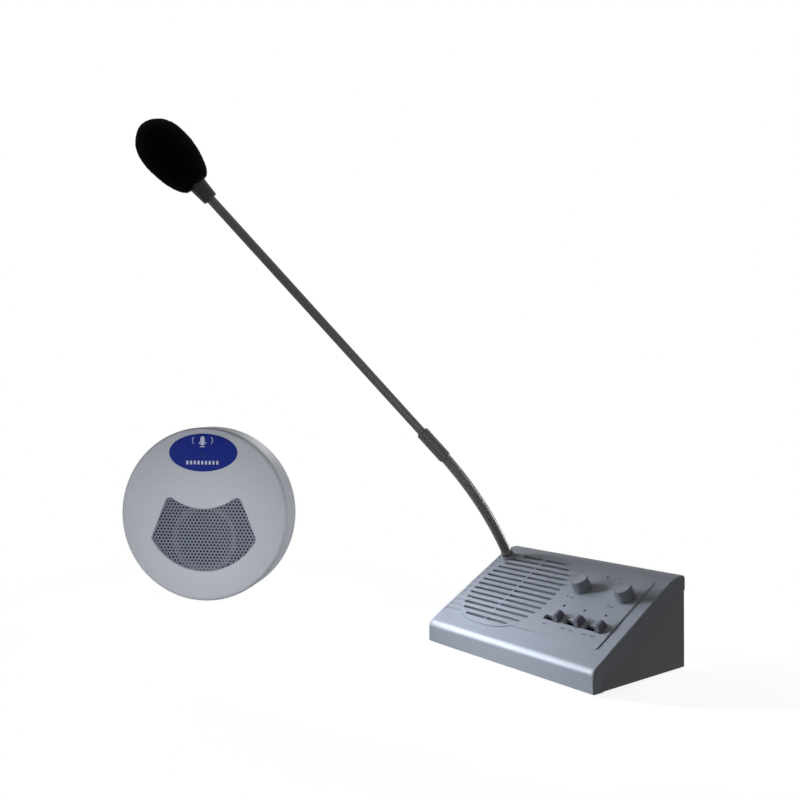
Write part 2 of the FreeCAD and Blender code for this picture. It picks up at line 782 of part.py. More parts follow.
def pot_case(x):
    """Potentiometer case under the panel, with the threaded bush that passes through it."""
    case = rod(pot_radius, panel_under - pot_depth, panel_under)
    bush = rod(bush_radius, panel_under, plate_rise + bush_height)
    half = pot_radius * pot_tag_share
    tags = block(-half, half, -pot_radius - pot_tag_reach, -pot_radius + pot_tag_reach / 2,
                 panel_under - pot_depth, panel_under - pot_depth + pot_tag_thickness)
    bore = rod(shaft_radius + RUN_GAP, panel_under - pot_depth + pot_back, plate_rise + bush_height + 1)
    body = fuse([case, bush, tags]).cut(bore)
    body.translate(Vec(x, knob_s, 0))
    return on_panel(body)


def pot_nuts():
    """The nuts that hold the potentiometers to the panel."""
    made = []
    for x in knob_xs.values():
        nut = hexagon(nut_across, plate_rise, plate_rise + nut_height, x, knob_s)
        made.append(on_panel(nut.cut(rod(bush_radius + FIT_GAP, 0, plate_rise + nut_height + 1, x, knob_s))))
    return Part.makeCompound(made)


# ---- switches, lamps, control board --------------------------------------------------------------
def switch_case(x):
    """Open-topped case of a slide switch, standing on the control board."""
    top = panel_under - SLIP_GAP
    half_depth = switch_case_depth / 2
    case = block(x - switch_case_length / 2, x + switch_case_length / 2, switch_s - half_depth,
                 switch_s + half_depth, control_board_top, top)
    room = block(x - switch_slot_length / 2, x + switch_slot_length / 2,
                 switch_s - switch_slot_height / 2, switch_s + switch_slot_height / 2,
                 control_board_top + switch_floor, top + 1)
    return on_panel(case.cut(room))


def switch_lever(x):
    """Lever of a slide switch at the right end of its slot: stem, and a cap that narrows upwards."""
    centre = x + lever_rest_shift
    half_stem = switch_slot_height / 2 - MOVE_GAP
    low = control_board_top + switch_floor + MOVE_GAP
    cap_low = plate_rise + lever_lift
    cap_high = cap_low + lever_cap_height
    stem = block(centre - lever_stem_length / 2, centre + lever_stem_length / 2, switch_s - half_stem,
                 switch_s + half_stem, low, cap_low)
    front = switch_s + lever_cap_shift - lever_cap_depth / 2
    back = front + lever_cap_depth
    taper = (lever_cap_length - lever_top_length) / 2
    around = ((-1, 0), (1, 0), (1, 1), (-1, 1))
    base = [Vec(centre + i * lever_cap_length / 2, (front, back)[j], cap_low) for i, j in around]
    top = [Vec(centre + i * lever_top_length / 2, (front + taper * 2, back - taper)[j], cap_high)
           for i, j in around]
    cap = Part.makeLoft([Part.makePolygon(base + base[:1]), Part.makePolygon(top + top[:1])], True, True)
    crown = [e for e in cap.Edges if e.BoundBox.ZMin > cap_high - 1e-3]
    cap = cap.makeFillet(lever_edge_radius, crown)
    return on_panel(fuse([stem, cap]))


def lamp(x, s):
    """Indicator lamp: domed lens, flange behind the panel and its two legs as one strip."""
    top = plate_rise + lamp_rise
    flange_low = panel_under - lamp_flange_thickness
    lens = rod(lamp_radius, flange_low, top - lamp_radius, x, s)
    dome = Part.makeSphere(lamp_radius, Vec(x, s, top - lamp_radius))
    flange = rod(lamp_radius + lamp_flange, flange_low, panel_under, x, s)
    legs = block(x - lamp_leg_width / 2, x + lamp_leg_width / 2, s - lamp_leg_thickness / 2,
                 s + lamp_leg_thickness / 2, control_board_top, flange_low)
    return on_panel(fuse([lens, dome, flange, legs]))


def control_board():
    """Circuit board under the controls, carried by three posts."""
    places = control_post_places()
    left = min(x for x, s in places) - control_post_radius - control_board_margin
    right = max(x for x, s in places) + control_post_radius + control_board_margin / 2
    low = switch_s - switch_case_depth / 2 - control_board_margin
    high = power_lamp_s + control_board_margin
    board = block(left, right, low, high, control_board_top - board_thickness, control_board_top)
    for x, s in places:
        board = board.cut(rod(screw_radius + SLIP_GAP, control_board_top - board_thickness - 1,
                              control_board_top + 1, x, s))
    return on_panel(board)


def control_board_screws():
    """Screws from under the control board into its posts."""
    seat = control_board_top - board_thickness
    made = [screw(x, s, seat, board_screw_length) for x, s in control_post_places()]
    return Part.makeCompound([on_panel(m) for m in made])


# ---- main board ----------------------------------------------------------------------------------
def main_board():
    """Circuit board of the amplifiers on four posts of the base shell."""
    board = block(main_board_x - main_board_length / 2, main_board_x + main_board_length / 2,
                  main_board_y - main_board_depth / 2, main_board_y + main_board_depth / 2,
                  main_board_z, main_board_z + board_thickness)
    holes = [rod(screw_radius + SLIP_GAP, 0, console_height, x, y) for x, y in board_post_places()]
    return board.cut(holes)


def main_board_screws():
    """Screws that hold the main board to its posts."""
    top = main_board_z + board_thickness
    return Part.makeCompound([screw(x, y, top, board_screw_length, -1) for x, y in board_post_places()])


def heat_sink():
    """Finned heat sink of the output amplifiers."""
    top = main_board_z + board_thickness
    x0 = main_board_x - sink_length / 2
    y0 = main_board_y + main_board_depth / 2 - board_post_inset * 2 - sink_fin_count * sink_fin_pitch
    plate = block(x0, x0 + sink_length, y0, y0 + sink_fin_pitch * (sink_fin_count - 1) + sink_plate,
                  top, top + sink_plate)
    fins = [block(x0, x0 + sink_length, y0 + i * sink_fin_pitch, y0 + i * sink_fin_pitch + sink_plate / 2,
                  top, top + sink_height) for i in range(sink_fin_count)]
    return fuse([plate] + fins)


def capacitors():
    """Row of electrolytic capacitors on the main board."""
    top = main_board_z + board_thickness
    made = []
    for i in range(3):
        can = rod(capacitor_radius, top, top + capacitor_height,
                  main_board_x + (i - 1) * capacitor_pitch, main_board_y - main_board_depth / 4)
        crown = [e for e in can.Edges if e.BoundBox.ZMin > top + capacitor_height - 1e-3]
        made.append(can.makeFillet(capacitor_edge_radius, crown))
    return Part.makeCompound(made)


# ---- rear sockets --------------------------------------------------------------------------------
def rear_socket(x, bore_radius, pin_radius=0.0):
    """Round panel socket in the back wall; its bore opens towards +Y."""
    back_out = rear_y - base_inset
    back_in = rear_y - case_wall - SLIP_GAP - case_wall

    def tube_from(radius, y, length):
        return Part.makeCylinder(radius, length, Vec(x, y, socket_height), Vec(0, 1, 0))

    flange = tube_from(socket_flange_radius, back_out, socket_flange_thickness)
    bush = tube_from(socket_bush_radius, back_in, back_out - back_in)
    body = block(x - socket_body_width / 2, x + socket_body_width / 2, back_in - socket_body_length, back_in,
                 socket_height - socket_body_width / 2, socket_height + socket_body_width / 2)
    mouth = back_out + socket_flange_thickness
    floor = mouth - socket_bore_depth
    made = fuse([flange, bush, body]).cut(tube_from(bore_radius, floor, socket_bore_depth + 1))
    if pin_radius:
        made = fuse([made, tube_from(pin_radius, floor, socket_bore_depth - 1)])
    return made


# ---- gooseneck -----------------------------------------------------------------------------------
panel_normal = Vec(0, -sin(slope), cos(slope))
tube_direction = Vec(cos(radians(neck_turn_up)) * sin(radians(neck_turn_side)),
                     -cos(radians(neck_turn_up)) * cos(radians(neck_turn_side)), sin(radians(neck_turn_up)))


def neck_directions():
    """Direction of the collar, of each link and of the tube: the neck's bend in equal steps."""
    angle = acos(panel_normal.dot(tube_direction))
    side = (tube_direction - panel_normal * panel_normal.dot(tube_direction)).normalize()
    steps = [angle * i / neck_joints for i in range(neck_joints + 1)]
    return [panel_normal * cos(a) + side * sin(a) for a in steps]


def neck_centres():
    """Joint centres, from the first one above the collar to the last one under the ferrule."""
    start = PANEL.multVec(Vec(neck_x, neck_s, neck_first_joint))
    centres = [start]
    for direction in neck_directions()[1:-1]:
        centres.append(centres[-1] + direction * neck_pitch)
    return centres


def along(shape, point, direction):
    """Place a shape that was made along +Z so that it starts at point and runs along direction."""
    placed = shape.copy()
    placed.Placement = FreeCAD.Placement(point, FreeCAD.Rotation(UP, direction))
    return placed


def arc_rz(radius, z, a0, a1):
    """Arc about (0, z) in the XZ plane between two angles from the radius axis."""
    def at(a):
        return Vec(radius * cos(a), 0, z + radius * sin(a))
    return Part.Arc(at(a0), at((a0 + a1) / 2), at(a1)).toShape()


def line_rz(points):
    """Straight edges through (radius, height) points."""
    return [Part.LineSegment(Vec(a[0], 0, a[1]), Vec(b[0], 0, b[1])).toShape()
            for a, b in zip(points, points[1:])]


def ball_angles():
    """Angles at which the ball meets the wire bore and the link's lower face."""
    return -acos(wire_bore_radius / ball_radius), atan2(ball_face, sqrt(ball_radius ** 2 - ball_face ** 2))


def ball_foot():
    """Outline of a ball foot from the wire bore up to the link's outer wall."""
    a0, a1 = ball_angles()
    edge = arc_rz(ball_radius, 0, a0, a1)
    start = (wire_bore_radius, -sqrt(ball_radius ** 2 - wire_bore_radius ** 2))
    shoulder = (sqrt(ball_radius ** 2 - ball_face ** 2), ball_face)
    return start, edge, line_rz([shoulder, (neck_radius, ball_face)])


def cup(z):
    """Outline of a cup for the ball centred at height z, from its rim to the wire bore."""
    r = ball_radius + MOVE_GAP
    rim = (sqrt(r ** 2 - cup_rim ** 2), z - cup_rim)
    floor = (wire_bore_radius, z - sqrt(r ** 2 - wire_bore_radius ** 2))
    edge = arc_rz(r, z, -atan2(cup_rim, rim[0]), -acos(wire_bore_radius / r))
    return rim, edge, floor


def neck_link():
    """One link of the flexible neck, along +Z from its own joint centre to the next one."""
    start, ball, shoulder = ball_foot()
    rim, hollow, floor = cup(neck_pitch)
    top = neck_pitch - cup_rim
    wall = line_rz([(neck_radius, ball_face), (neck_radius, top), rim])
    return lathe([ball] + shoulder + wall + [hollow] + line_rz([floor, start]))


def neck_collar():
    """Collar on the panel's pad, with its threaded stub below and the first cup on top."""
    base = neck_pad_height
    rim, hollow, floor = cup(neck_first_joint)
    top = neck_first_joint - cup_rim
    low = panel_under - neck_stub_length
    straight = base + collar_straight
    outline = line_rz([(wire_bore_radius, low), (neck_stub_radius, low), (neck_stub_radius, base),
                       (collar_radius, base), (collar_radius, straight),
                       (neck_radius, straight + collar_taper), (neck_radius, top), rim])
    body = lathe(outline + [hollow] + line_rz([floor, (wire_bore_radius, low)]))
    body.translate(Vec(neck_x, neck_s, 0))
    return on_panel(body)


def neck_nut():
    """Nut that clamps the collar's stub under the panel."""
    nut = hexagon(neck_nut_across, panel_under - neck_nut_height, panel_under, neck_x, neck_s)
    return on_panel(nut.cut(rod(neck_stub_radius + FIT_GAP, -case_wall * 6, 0, neck_x, neck_s)))


def neck_ferrule():
    """Ferrule that joins the flexible neck to the straight tube."""
    start, ball, shoulder = ball_foot()
    top = ferrule_start + ferrule_length
    seat = top - tube_insert
    outer = line_rz([(neck_radius, ball_face), (neck_radius, ferrule_start - ferrule_chamfer),
                     (ferrule_radius, ferrule_start), (ferrule_radius, top - ferrule_chamfer),
                     (ferrule_radius - ferrule_chamfer, top), (tube_radius + FIT_GAP, top),
                     (tube_radius + FIT_GAP, seat), (wire_bore_radius, seat), start])
    return along(lathe([ball] + shoulder + outer), neck_centres()[-1], tube_direction)


def tube_start():
    """Lower end of the tube, inside the ferrule."""
    return neck_centres()[-1] + tube_direction * (ferrule_start + ferrule_length - tube_insert)


def mic_point(height):
    """A point on the microphone's axis, height above the visible tube's upper end."""
    return tube_start() + tube_direction * (tube_insert + tube_visible + height)


def mic_tube():
    """Straight steel tube between the ferrule and the microphone."""
    length = tube_insert + tube_visible + mic_collar_insert
    wall = Part.makeCylinder(tube_radius, length).cut(Part.makeCylinder(tube_radius - tube_wall, length))
    return along(wall, tube_start(), tube_direction)


def mic_collar():
    """Tapered collar on the tube's end, with the seat of the microphone capsule."""
    low, top = mic_collar_low_chamfer, mic_collar_top_chamfer
    outline = [(tube_radius + FIT_GAP, 0), (mic_collar_small_radius - low, 0), (mic_collar_small_radius, low),
               (mic_collar_large_radius, mic_collar_length - top),
               (mic_collar_large_radius - top, mic_collar_length),
               (mic_wire_bore_radius, mic_collar_length), (mic_wire_bore_radius, mic_collar_insert),
               (tube_radius + FIT_GAP, mic_collar_insert)]
    return along(turned(outline), mic_point(0), tube_direction)


def mic_capsule():
    """Microphone capsule housing on the collar, inside the foam."""
    can = Part.makeCylinder(capsule_radius, capsule_length)
    rim = [e for e in can.Edges if e.BoundBox.ZMin > capsule_length - 1e-3]
    can = can.makeFillet(capsule_edge, rim)
    slots = []
    for i in range(capsule_slots):
        slot = block(capsule_radius - 1, capsule_radius + 1, -capsule_slot_half, capsule_slot_half,
                     capsule_length * capsule_slot_start, capsule_length * capsule_slot_end)
        slot.rotate(Vec(0, 0, 0), UP, 360 * i / capsule_slots)
        slots.append(slot)
    return along(can.cut(slots), mic_point(mic_collar_length), tube_direction)


def foam_windscreen():
    """Egg-shaped foam windscreen with the bore that takes the capsule."""
    widest = foam_length * foam_widest
    pts = [Vec(foam_neck_radius, 0, 0),
           Vec((foam_neck_radius + foam_radius) / 2 + foam_low_swell, 0, widest * foam_low_share),
           Vec(foam_radius, 0, widest),
           Vec(foam_radius * foam_high_radius, 0, widest + (foam_length - widest) * foam_high_share),
           Vec(0, 0, foam_length)]
    curve = Part.BSplineCurve()
    curve.interpolate(pts, InitialTangent=Vec(1, 0, 0.7), FinalTangent=Vec(-1, 0, 0))
    bore = capsule_radius + SOFT_GAP
    deep = capsule_length + SOFT_GAP
    inside = [(0, foam_length), (0, deep), (bore, deep), (bore, 0), (foam_neck_radius, 0)]
    outline = [curve.toShape()] + line_rz(inside)
    return along(lathe(outline), mic_point(mic_collar_length + SOFT_GAP), tube_direction)


# ---- round window unit ---------------------------------------------------------------------------
def dome_solid(rise):
    """Everything under the face's shallow dome, moved out by rise."""
    edge_z = unit_depth - unit_dome + rise
    top_z = unit_depth + rise
    crown = Part.Arc(Vec(unit_radius, 0, edge_z), dome_middle(rise), Vec(0, 0, top_z)).toShape()
    return lathe([crown] + line_rz([(0, top_z), (0, 0), (unit_radius, 0), (unit_radius, edge_z)]))


def dome_middle(rise):
    """Point of the dome's arc half way out."""
    ball = (unit_radius ** 2 + unit_dome ** 2) / (2 * unit_dome)
    r = unit_radius / 2
    return Vec(r, 0, unit_depth + rise - ball + sqrt(ball ** 2 - r ** 2))


def fan_face():
    """Fan-shaped outline of the grille opening, its corners rounded, at z = 0."""
    high = badge_y - sqrt(fan_top_radius ** 2 - fan_top_half ** 2)
    low = fan_bottom_centre_y - sqrt(fan_bottom_radius ** 2 - fan_low_half ** 2)
    top_left, top_right = Vec(-fan_top_half, high, 0), Vec(fan_top_half, high, 0)
    low_left, low_right = Vec(-fan_low_half, low, 0), Vec(fan_low_half, low, 0)
    top_mid, low_mid = Vec(0, badge_y - fan_top_radius, 0), Vec(0, fan_bottom_centre_y - fan_bottom_radius, 0)
    wire = Part.Wire([Part.Arc(top_left, top_mid, top_right).toShape(),
                      Part.LineSegment(top_right, low_right).toShape(),
                      Part.Arc(low_right, low_mid, low_left).toShape(),
                      Part.LineSegment(low_left, top_left).toShape()])
    solid = Part.Face(wire).extrude(UP)
    solid = solid.makeFillet(fan_corner_radius, [e for e in solid.Edges if e.BoundBox.XLength < 1e-6])
    return [face for face in solid.Faces if face.BoundBox.ZMax < 1e-6][0]


def fan_block(grow, z0, z1):
    """Upright block of the fan's outline, grown outwards by grow."""
    outline = fan_face().OuterWire
    if grow:
        outline = outline.makeOffset2D(grow, 0)
    made = Part.Face(outline).extrude(Vec(0, 0, z1 - z0))
    made.translate(Vec(0, 0, z0))
    return made


def badge_block(gap, z0, z1):
    """Upright elliptical block of the badge's outline, grown by gap."""
    ellipse = Part.Ellipse(Vec(0, badge_y, z0), badge_half_width + gap, badge_half_height + gap)
    return Part.Face(Part.Wire([ellipse.toShape()])).extrude(Vec(0, 0, z1 - z0))


def circle_places(radius, angles):
    """Places on a circle about the unit's middle."""
    return [(radius * cos(radians(a)), radius * sin(radians(a))) for a in angles]


def window_front_shell():
    """Domed front with its side wall, the fan opening, the badge's recess and the screw bosses."""
    body = dome_solid(0)
    rim = [e for e in body.Edges if abs(e.BoundBox.ZMin - (unit_depth - unit_dome)) < 1e-3
           and e.BoundBox.XLength > unit_radius]
    body = body.makeFillet(unit_edge_radius, rim)
    body = body.cut(rod(unit_radius - unit_wall, -1, unit_front_inside))
    plate_top = back_plate_thickness
    bosses = [rod(boss_radius, plate_top, unit_front_inside + boss_root, x, y)
              for x, y in circle_places(case_screw_circle, case_screw_angles)]
    body = body.fuse(bosses).removeSplitter()
    cuts = [rod(screw_radius + pilot_gap, plate_top - 1, plate_top + screw_length, x, y)
            for x, y in circle_places(case_screw_circle, case_screw_angles)]
    body = body.cut(fan_block(0, unit_front_inside - 1, unit_depth + 1))
    mouth = [e for e in body.Edges if e.BoundBox.ZMin > unit_depth - unit_dome and
             e.BoundBox.XLength < 2.2 * fan_low_half and e.BoundBox.YMax < fan_low_half]
    body = body.makeFillet(fan_rim_radius, mouth)
    cuts.append(badge_block(badge_gap, unit_front_inside, unit_depth + 1).cut(dome_solid(-badge_sunk)))
    cuts.append(rod(mic_hole_radius, unit_front_inside - 1, unit_depth + 1, 0, mic_hole_y))
    return on_unit(body.cut(cuts))


def window_badge():
    """Oval badge that follows the dome, with the microphone's hole."""
    badge = badge_block(0, unit_front_inside, unit_depth + 1).common(dome_solid(badge_proud))
    badge = badge.cut(dome_solid(-badge_sunk)).cut(rod(mic_hole_radius, 0, unit_depth + 2, 0, mic_hole_y))
    return on_unit(badge)


def window_mesh():
    """Metal grille plate behind the fan opening."""
    z0 = unit_front_inside - mesh_thickness
    return on_unit(fan_block(mesh_overlap, z0, unit_front_inside))


def window_back_plate():
    """Round back plate with its fixing holes, screw holes and the cable hole."""
    plate = rod(unit_radius - unit_wall - SLIP_GAP, 0, back_plate_thickness)
    cuts = [rod(screw_radius + SLIP_GAP, -1, back_plate_thickness + 1, x, y)
            for x, y in circle_places(case_screw_circle, case_screw_angles)]
    cuts += [rod(screw_head_radius + SLIP_GAP, -1, back_plate_thickness / 2, x, y)
             for x, y in circle_places(case_screw_circle, case_screw_angles)]
    cuts += [rod(wall_hole_radius, -1, back_plate_thickness + 1, x, y)
             for x, y in circle_places(wall_hole_circle, wall_hole_angles)]
    cuts.append(rod(cable_hole_radius, -1, back_plate_thickness + 1))
    return on_unit(plate.cut(cuts))


def window_gasket():
    """Sealing ring on the back rim."""
    outer = unit_radius - gasket_inset
    ring = rod(outer, -gasket_thickness, 0).cut(rod(outer - gasket_width, -gasket_thickness - 1, 1))
    holes = [rod(screw_head_radius + SLIP_GAP, -gasket_thickness - 1, 1, x, y)
             for x, y in circle_places(case_screw_circle, case_screw_angles)]
    return on_unit(ring.cut(holes))


def window_case_screws():
    """Screws from the back plate into the front shell's bosses."""
    made = [screw(x, y, back_plate_thickness / 2, screw_length)
            for x, y in circle_places(case_screw_circle, case_screw_angles)]
    return Part.makeCompound([on_unit(m) for m in made])


def in_window(shape):
    """Place a loudspeaker piece behind the unit's mesh."""
    moved = shape.copy()
    moved.translate(Vec(0, unit_speaker_y, unit_front_inside - mesh_thickness))
    return on_unit(moved)


def window_mic_boot():
    """Rubber boot around the window unit's microphone capsule."""
    low = unit_front_inside - boot_length
    boot = rod(boot_radius, low, unit_front_inside, 0, mic_hole_y)
    seat = rod(unit_capsule_radius + FIT_GAP, low - 1, low + unit_capsule_length, 0, mic_hole_y)
    port = rod(mic_hole_radius, low, unit_front_inside + 1, 0, mic_hole_y)
    return on_unit(boot.cut([seat, port]))


def window_mic_capsule():
    """Electret capsule of the window unit."""
    low = unit_front_inside - boot_length
    return on_unit(rod(unit_capsule_radius, low, low + unit_capsule_length, 0, mic_hole_y))


def window_terminals():
    """Screw terminal block on the back plate."""
    z0 = back_plate_thickness
    body = block(-terminal_length / 2, terminal_length / 2, terminal_y - terminal_width / 2,
                 terminal_y + terminal_width / 2, z0, z0 + terminal_height)
    cuts = []
    pitch = terminal_length / terminal_ways
    for i in range(terminal_ways):
        x = -terminal_length / 2 + pitch * (i + 0.5)
        mouth_top = z0 + terminal_height * terminal_mouth_share
        cuts.append(rod(pitch / 3, mouth_top, z0 + terminal_height + 1, x, terminal_y))
        cuts.append(block(x - pitch / 3, x + pitch / 3, terminal_y - terminal_width, terminal_y - 1,
                          z0 + terminal_mouth, mouth_top))
    return on_unit(body.cut(cuts))


# ---- all nodes -----------------------------------------------------------------------------------
def build_nodes():
    """Every sub-part under its node's name."""
    nodes = {
        "console_top_shell": console_top_shell(),
        "console_base_shell": console_base_shell(),
        "rubber_feet": rubber_feet(),
        "base_screws": base_screws(),
        "speaker_screen": speaker_screen(),
        "speaker_screws": speaker_screws(),
        "pot_nuts": pot_nuts(),
        "control_board": control_board(),
        "control_board_screws": control_board_screws(),
        "main_board": main_board(),
        "main_board_screws": main_board_screws(),
        "heat_sink": heat_sink(),
        "capacitors": capacitors(),
        "power_lamp": lamp(power_lamp_x, power_lamp_s),
        "mode_lamps": Part.makeCompound([lamp(x, lamp_s) for x in switch_xs]),
        "neck_collar": neck_collar(),
        "neck_nut": neck_nut(),
        "neck_ferrule": neck_ferrule(),
        "mic_tube": mic_tube(),
        "mic_collar": mic_collar(),
        "mic_capsule": mic_capsule(),
        "foam_windscreen": foam_windscreen(),
        "window_front_shell": window_front_shell(),
        "window_back_plate": window_back_plate(),
        "window_badge": window_badge(),
        "window_mesh": window_mesh(),
        "window_gasket": window_gasket(),
        "window_case_screws": window_case_screws(),
        "window_mic_boot": window_mic_boot(),
        "window_mic_capsule": window_mic_capsule(),
        "window_terminals": window_terminals(),
    }
    speakers = (("speaker", in_grille, (speaker_radius, speaker_depth, speaker_magnet_radius)),
                ("window_speaker", in_window, (unit_speaker_radius, unit_speaker_depth, unit_magnet_radius)))
    for name, place, sizes in speakers:
        nodes[name + "_frame"] = place(speaker_frame(*sizes))
        nodes[name + "_cone"] = place(speaker_cone(*sizes))
        nodes[name + "_magnet"] = place(speaker_magnet(*sizes))
    for side, x in knob_xs.items():
        nodes["knob_" + side] = knob(x)
        nodes["pot_shaft_" + side] = pot_shaft(x)
        nodes["pot_case_" + side] = pot_case(x)
    for i, x in enumerate(switch_xs, 1):
        nodes["switch_case_%d" % i] = switch_case(x)
        nodes["switch_lever_%d" % i] = switch_lever(x)
    link = neck_link()
    for i, (centre, direction) in enumerate(zip(neck_centres(), neck_directions()[1:-1]), 1):
        nodes["neck_link_%d" % i] = along(link, centre, direction)
    power_x, link_x, line_x = socket_places()
    nodes["power_socket"] = rear_socket(power_x, power_bore_radius, power_pin_radius)
    nodes["window_unit_socket"] = rear_socket(link_x, link_bore_radius)
    nodes["line_out_socket"] = rear_socket(line_x, line_bore_radius)
    return nodes


def main():
    os.makedirs("parts", exist_ok=True)
    for name, shape in build_nodes().items():
        shape.exportStep("parts/%s.step" % name)
        print("%-24s solids %d valid %s volume %.0f"
              % (name, len(shape.Solids), shape.isValid(), shape.Volume))
    for i, (centre, direction) in enumerate(zip(neck_centres(), neck_directions()[1:]), 1):
        print("neck joint %d at %.3f %.3f %.3f along %.4f %.4f %.4f"
              % ((i,) + tuple(centre) + tuple(direction)))


main()
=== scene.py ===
"""Teller window intercom: a sloped desk console with a gooseneck microphone, and a round window unit."""
import math

import bmesh
import bpy
from mathutils import Matrix, Vector, noise
from mathutils.geometry import interpolate_bezier


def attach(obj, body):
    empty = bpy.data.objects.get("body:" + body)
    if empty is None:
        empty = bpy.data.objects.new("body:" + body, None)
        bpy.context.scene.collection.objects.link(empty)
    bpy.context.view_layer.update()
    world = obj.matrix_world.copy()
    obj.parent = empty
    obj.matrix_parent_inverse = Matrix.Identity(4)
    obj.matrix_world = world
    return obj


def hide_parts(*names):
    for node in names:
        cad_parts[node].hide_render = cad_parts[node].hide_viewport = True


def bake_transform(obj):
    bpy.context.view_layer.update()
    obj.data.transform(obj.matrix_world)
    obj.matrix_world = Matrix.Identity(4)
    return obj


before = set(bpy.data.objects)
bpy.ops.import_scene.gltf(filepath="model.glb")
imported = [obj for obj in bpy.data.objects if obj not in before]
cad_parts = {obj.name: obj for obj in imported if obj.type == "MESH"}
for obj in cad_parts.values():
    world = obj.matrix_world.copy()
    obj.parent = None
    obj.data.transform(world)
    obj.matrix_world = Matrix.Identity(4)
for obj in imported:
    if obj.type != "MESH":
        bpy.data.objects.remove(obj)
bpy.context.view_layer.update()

MM = 0.001
UP = Vector((0, 0, 1))

# ---- sizes the dressed pieces share with the solids, in millimetres -----------------------------------
CONSOLE_DEPTH, CONSOLE_HEIGHT, FRONT_HEIGHT, TOP_STRIP = 120.0, 78.0, 17.8, 14.5
RISE, RUN = CONSOLE_HEIGHT - FRONT_HEIGHT, CONSOLE_DEPTH - TOP_STRIP
SLOPE, SLOPE_LENGTH = math.atan2(RISE, RUN), math.hypot(RISE, RUN)
FIELD_RISE = 0.8                   # the raised field that carries the controls
NECK_X, NECK_S = -84.9, SLOPE_LENGTH - 14.9
NECK_FOOT, FIRST_JOINT, NECK_PITCH, NECK_JOINTS = 9.15, 14.8, 21.0, 6
HEADING_SIDE, HEADING_UP = math.radians(-20.7), math.radians(46.6)
FERRULE_FOOT, FERRULE_TOP, TUBE_VISIBLE, MIC_COLLAR = 5.75, 41.0, 289.0, 17.3
FOAM_LENGTH, FOAM_RADIUS, FOAM_WAIST, FOAM_WIDEST = 68.0, 23.0, 11.5, 38.1
BORE_RADIUS, BORE_DEPTH = 6.3, 32.3
UNIT_MIDDLE, UNIT_HEADING, UNIT_DOME = Vector((-416.0, -130.0, 98.0)), math.radians(-46.0), 1.5
UNIT_RADIUS, UNIT_DEPTH = 100.0, 36.0
BADGE_Y, BADGE_PROUD = 71.0, 0.4
MESH_BACK, MESH_THICKNESS, MESH_OVERLAP = 31.2, 0.8, 4.0
FAN_TOP_RADIUS, FAN_BOTTOM_RADIUS, FAN_BOTTOM_Y = 65.0, 72.2, 7.1
FAN_TOP_HALF, FAN_LOW_HALF = 42.8, 62.8


def axes(x, y, z, origin):
    """Placement with these axes and this origin: millimetres in, metres out."""
    turn = Matrix((x, y, z)).transposed().to_4x4()
    return Matrix.Scale(MM, 4) @ Matrix.Translation(Vector(origin)) @ turn


PANEL_BACK = Vector((0, math.cos(SLOPE), math.sin(SLOPE)))
PANEL_OUT = Vector((0, -math.sin(SLOPE), math.cos(SLOPE)))
PANEL = axes(Vector((1, 0, 0)), PANEL_BACK, PANEL_OUT, (0, -CONSOLE_DEPTH / 2, FRONT_HEIGHT))
UNIT_OUT = Vector((math.cos(UNIT_HEADING), math.sin(UNIT_HEADING), 0))
UNIT = axes(UP.cross(UNIT_OUT), UP, UNIT_OUT, UNIT_MIDDLE)
TUBE_WAY = Vector((math.cos(HEADING_UP) * math.sin(HEADING_SIDE),
                   -math.cos(HEADING_UP) * math.cos(HEADING_SIDE), math.sin(HEADING_UP)))


# ---- shader arithmetic ----------------------------------------------------------------------------------
EDGE = 0.35                        # how far a moulded or folded edge is rounded over, in millimetres
EDGE_LINE = Vector((0, -58.4, 16.8))                # the front edge, along which a highlight is painted into the console's paint
EDGE_BAND, EDGE_ENDS = (1.1, 4.1), (95.5, 99.2)     # where the painted highlight fades out round it and at its ends
EDGE_HIGHLIGHT, EDGE_HIGHLIGHT_METAL = (0.5, 0.515, 0.55), 0.3      # the painted highlight's colour, and how metallic it is


class Wire:
    """A node's output; arithmetic on it adds Math nodes."""

    def __init__(self, finish, socket):
        self.finish, self.socket = finish, socket

    def worked(self, operation, first, second):
        return self.finish.node("Math", {"operation": operation}, {0: first, 1: second})

    def __add__(self, other):
        return self.worked("ADD", self, other)

    def __radd__(self, other):
        return self.worked("ADD", other, self)

    def __sub__(self, other):
        return self.worked("SUBTRACT", self, other)

    def __rsub__(self, other):
        return self.worked("SUBTRACT", other, self)

    def __mul__(self, other):
        return self.worked("MULTIPLY", self, other)

    def __rmul__(self, other):
        return self.worked("MULTIPLY", other, self)

    def __gt__(self, other):
        return self.worked("GREATER_THAN", self, other)


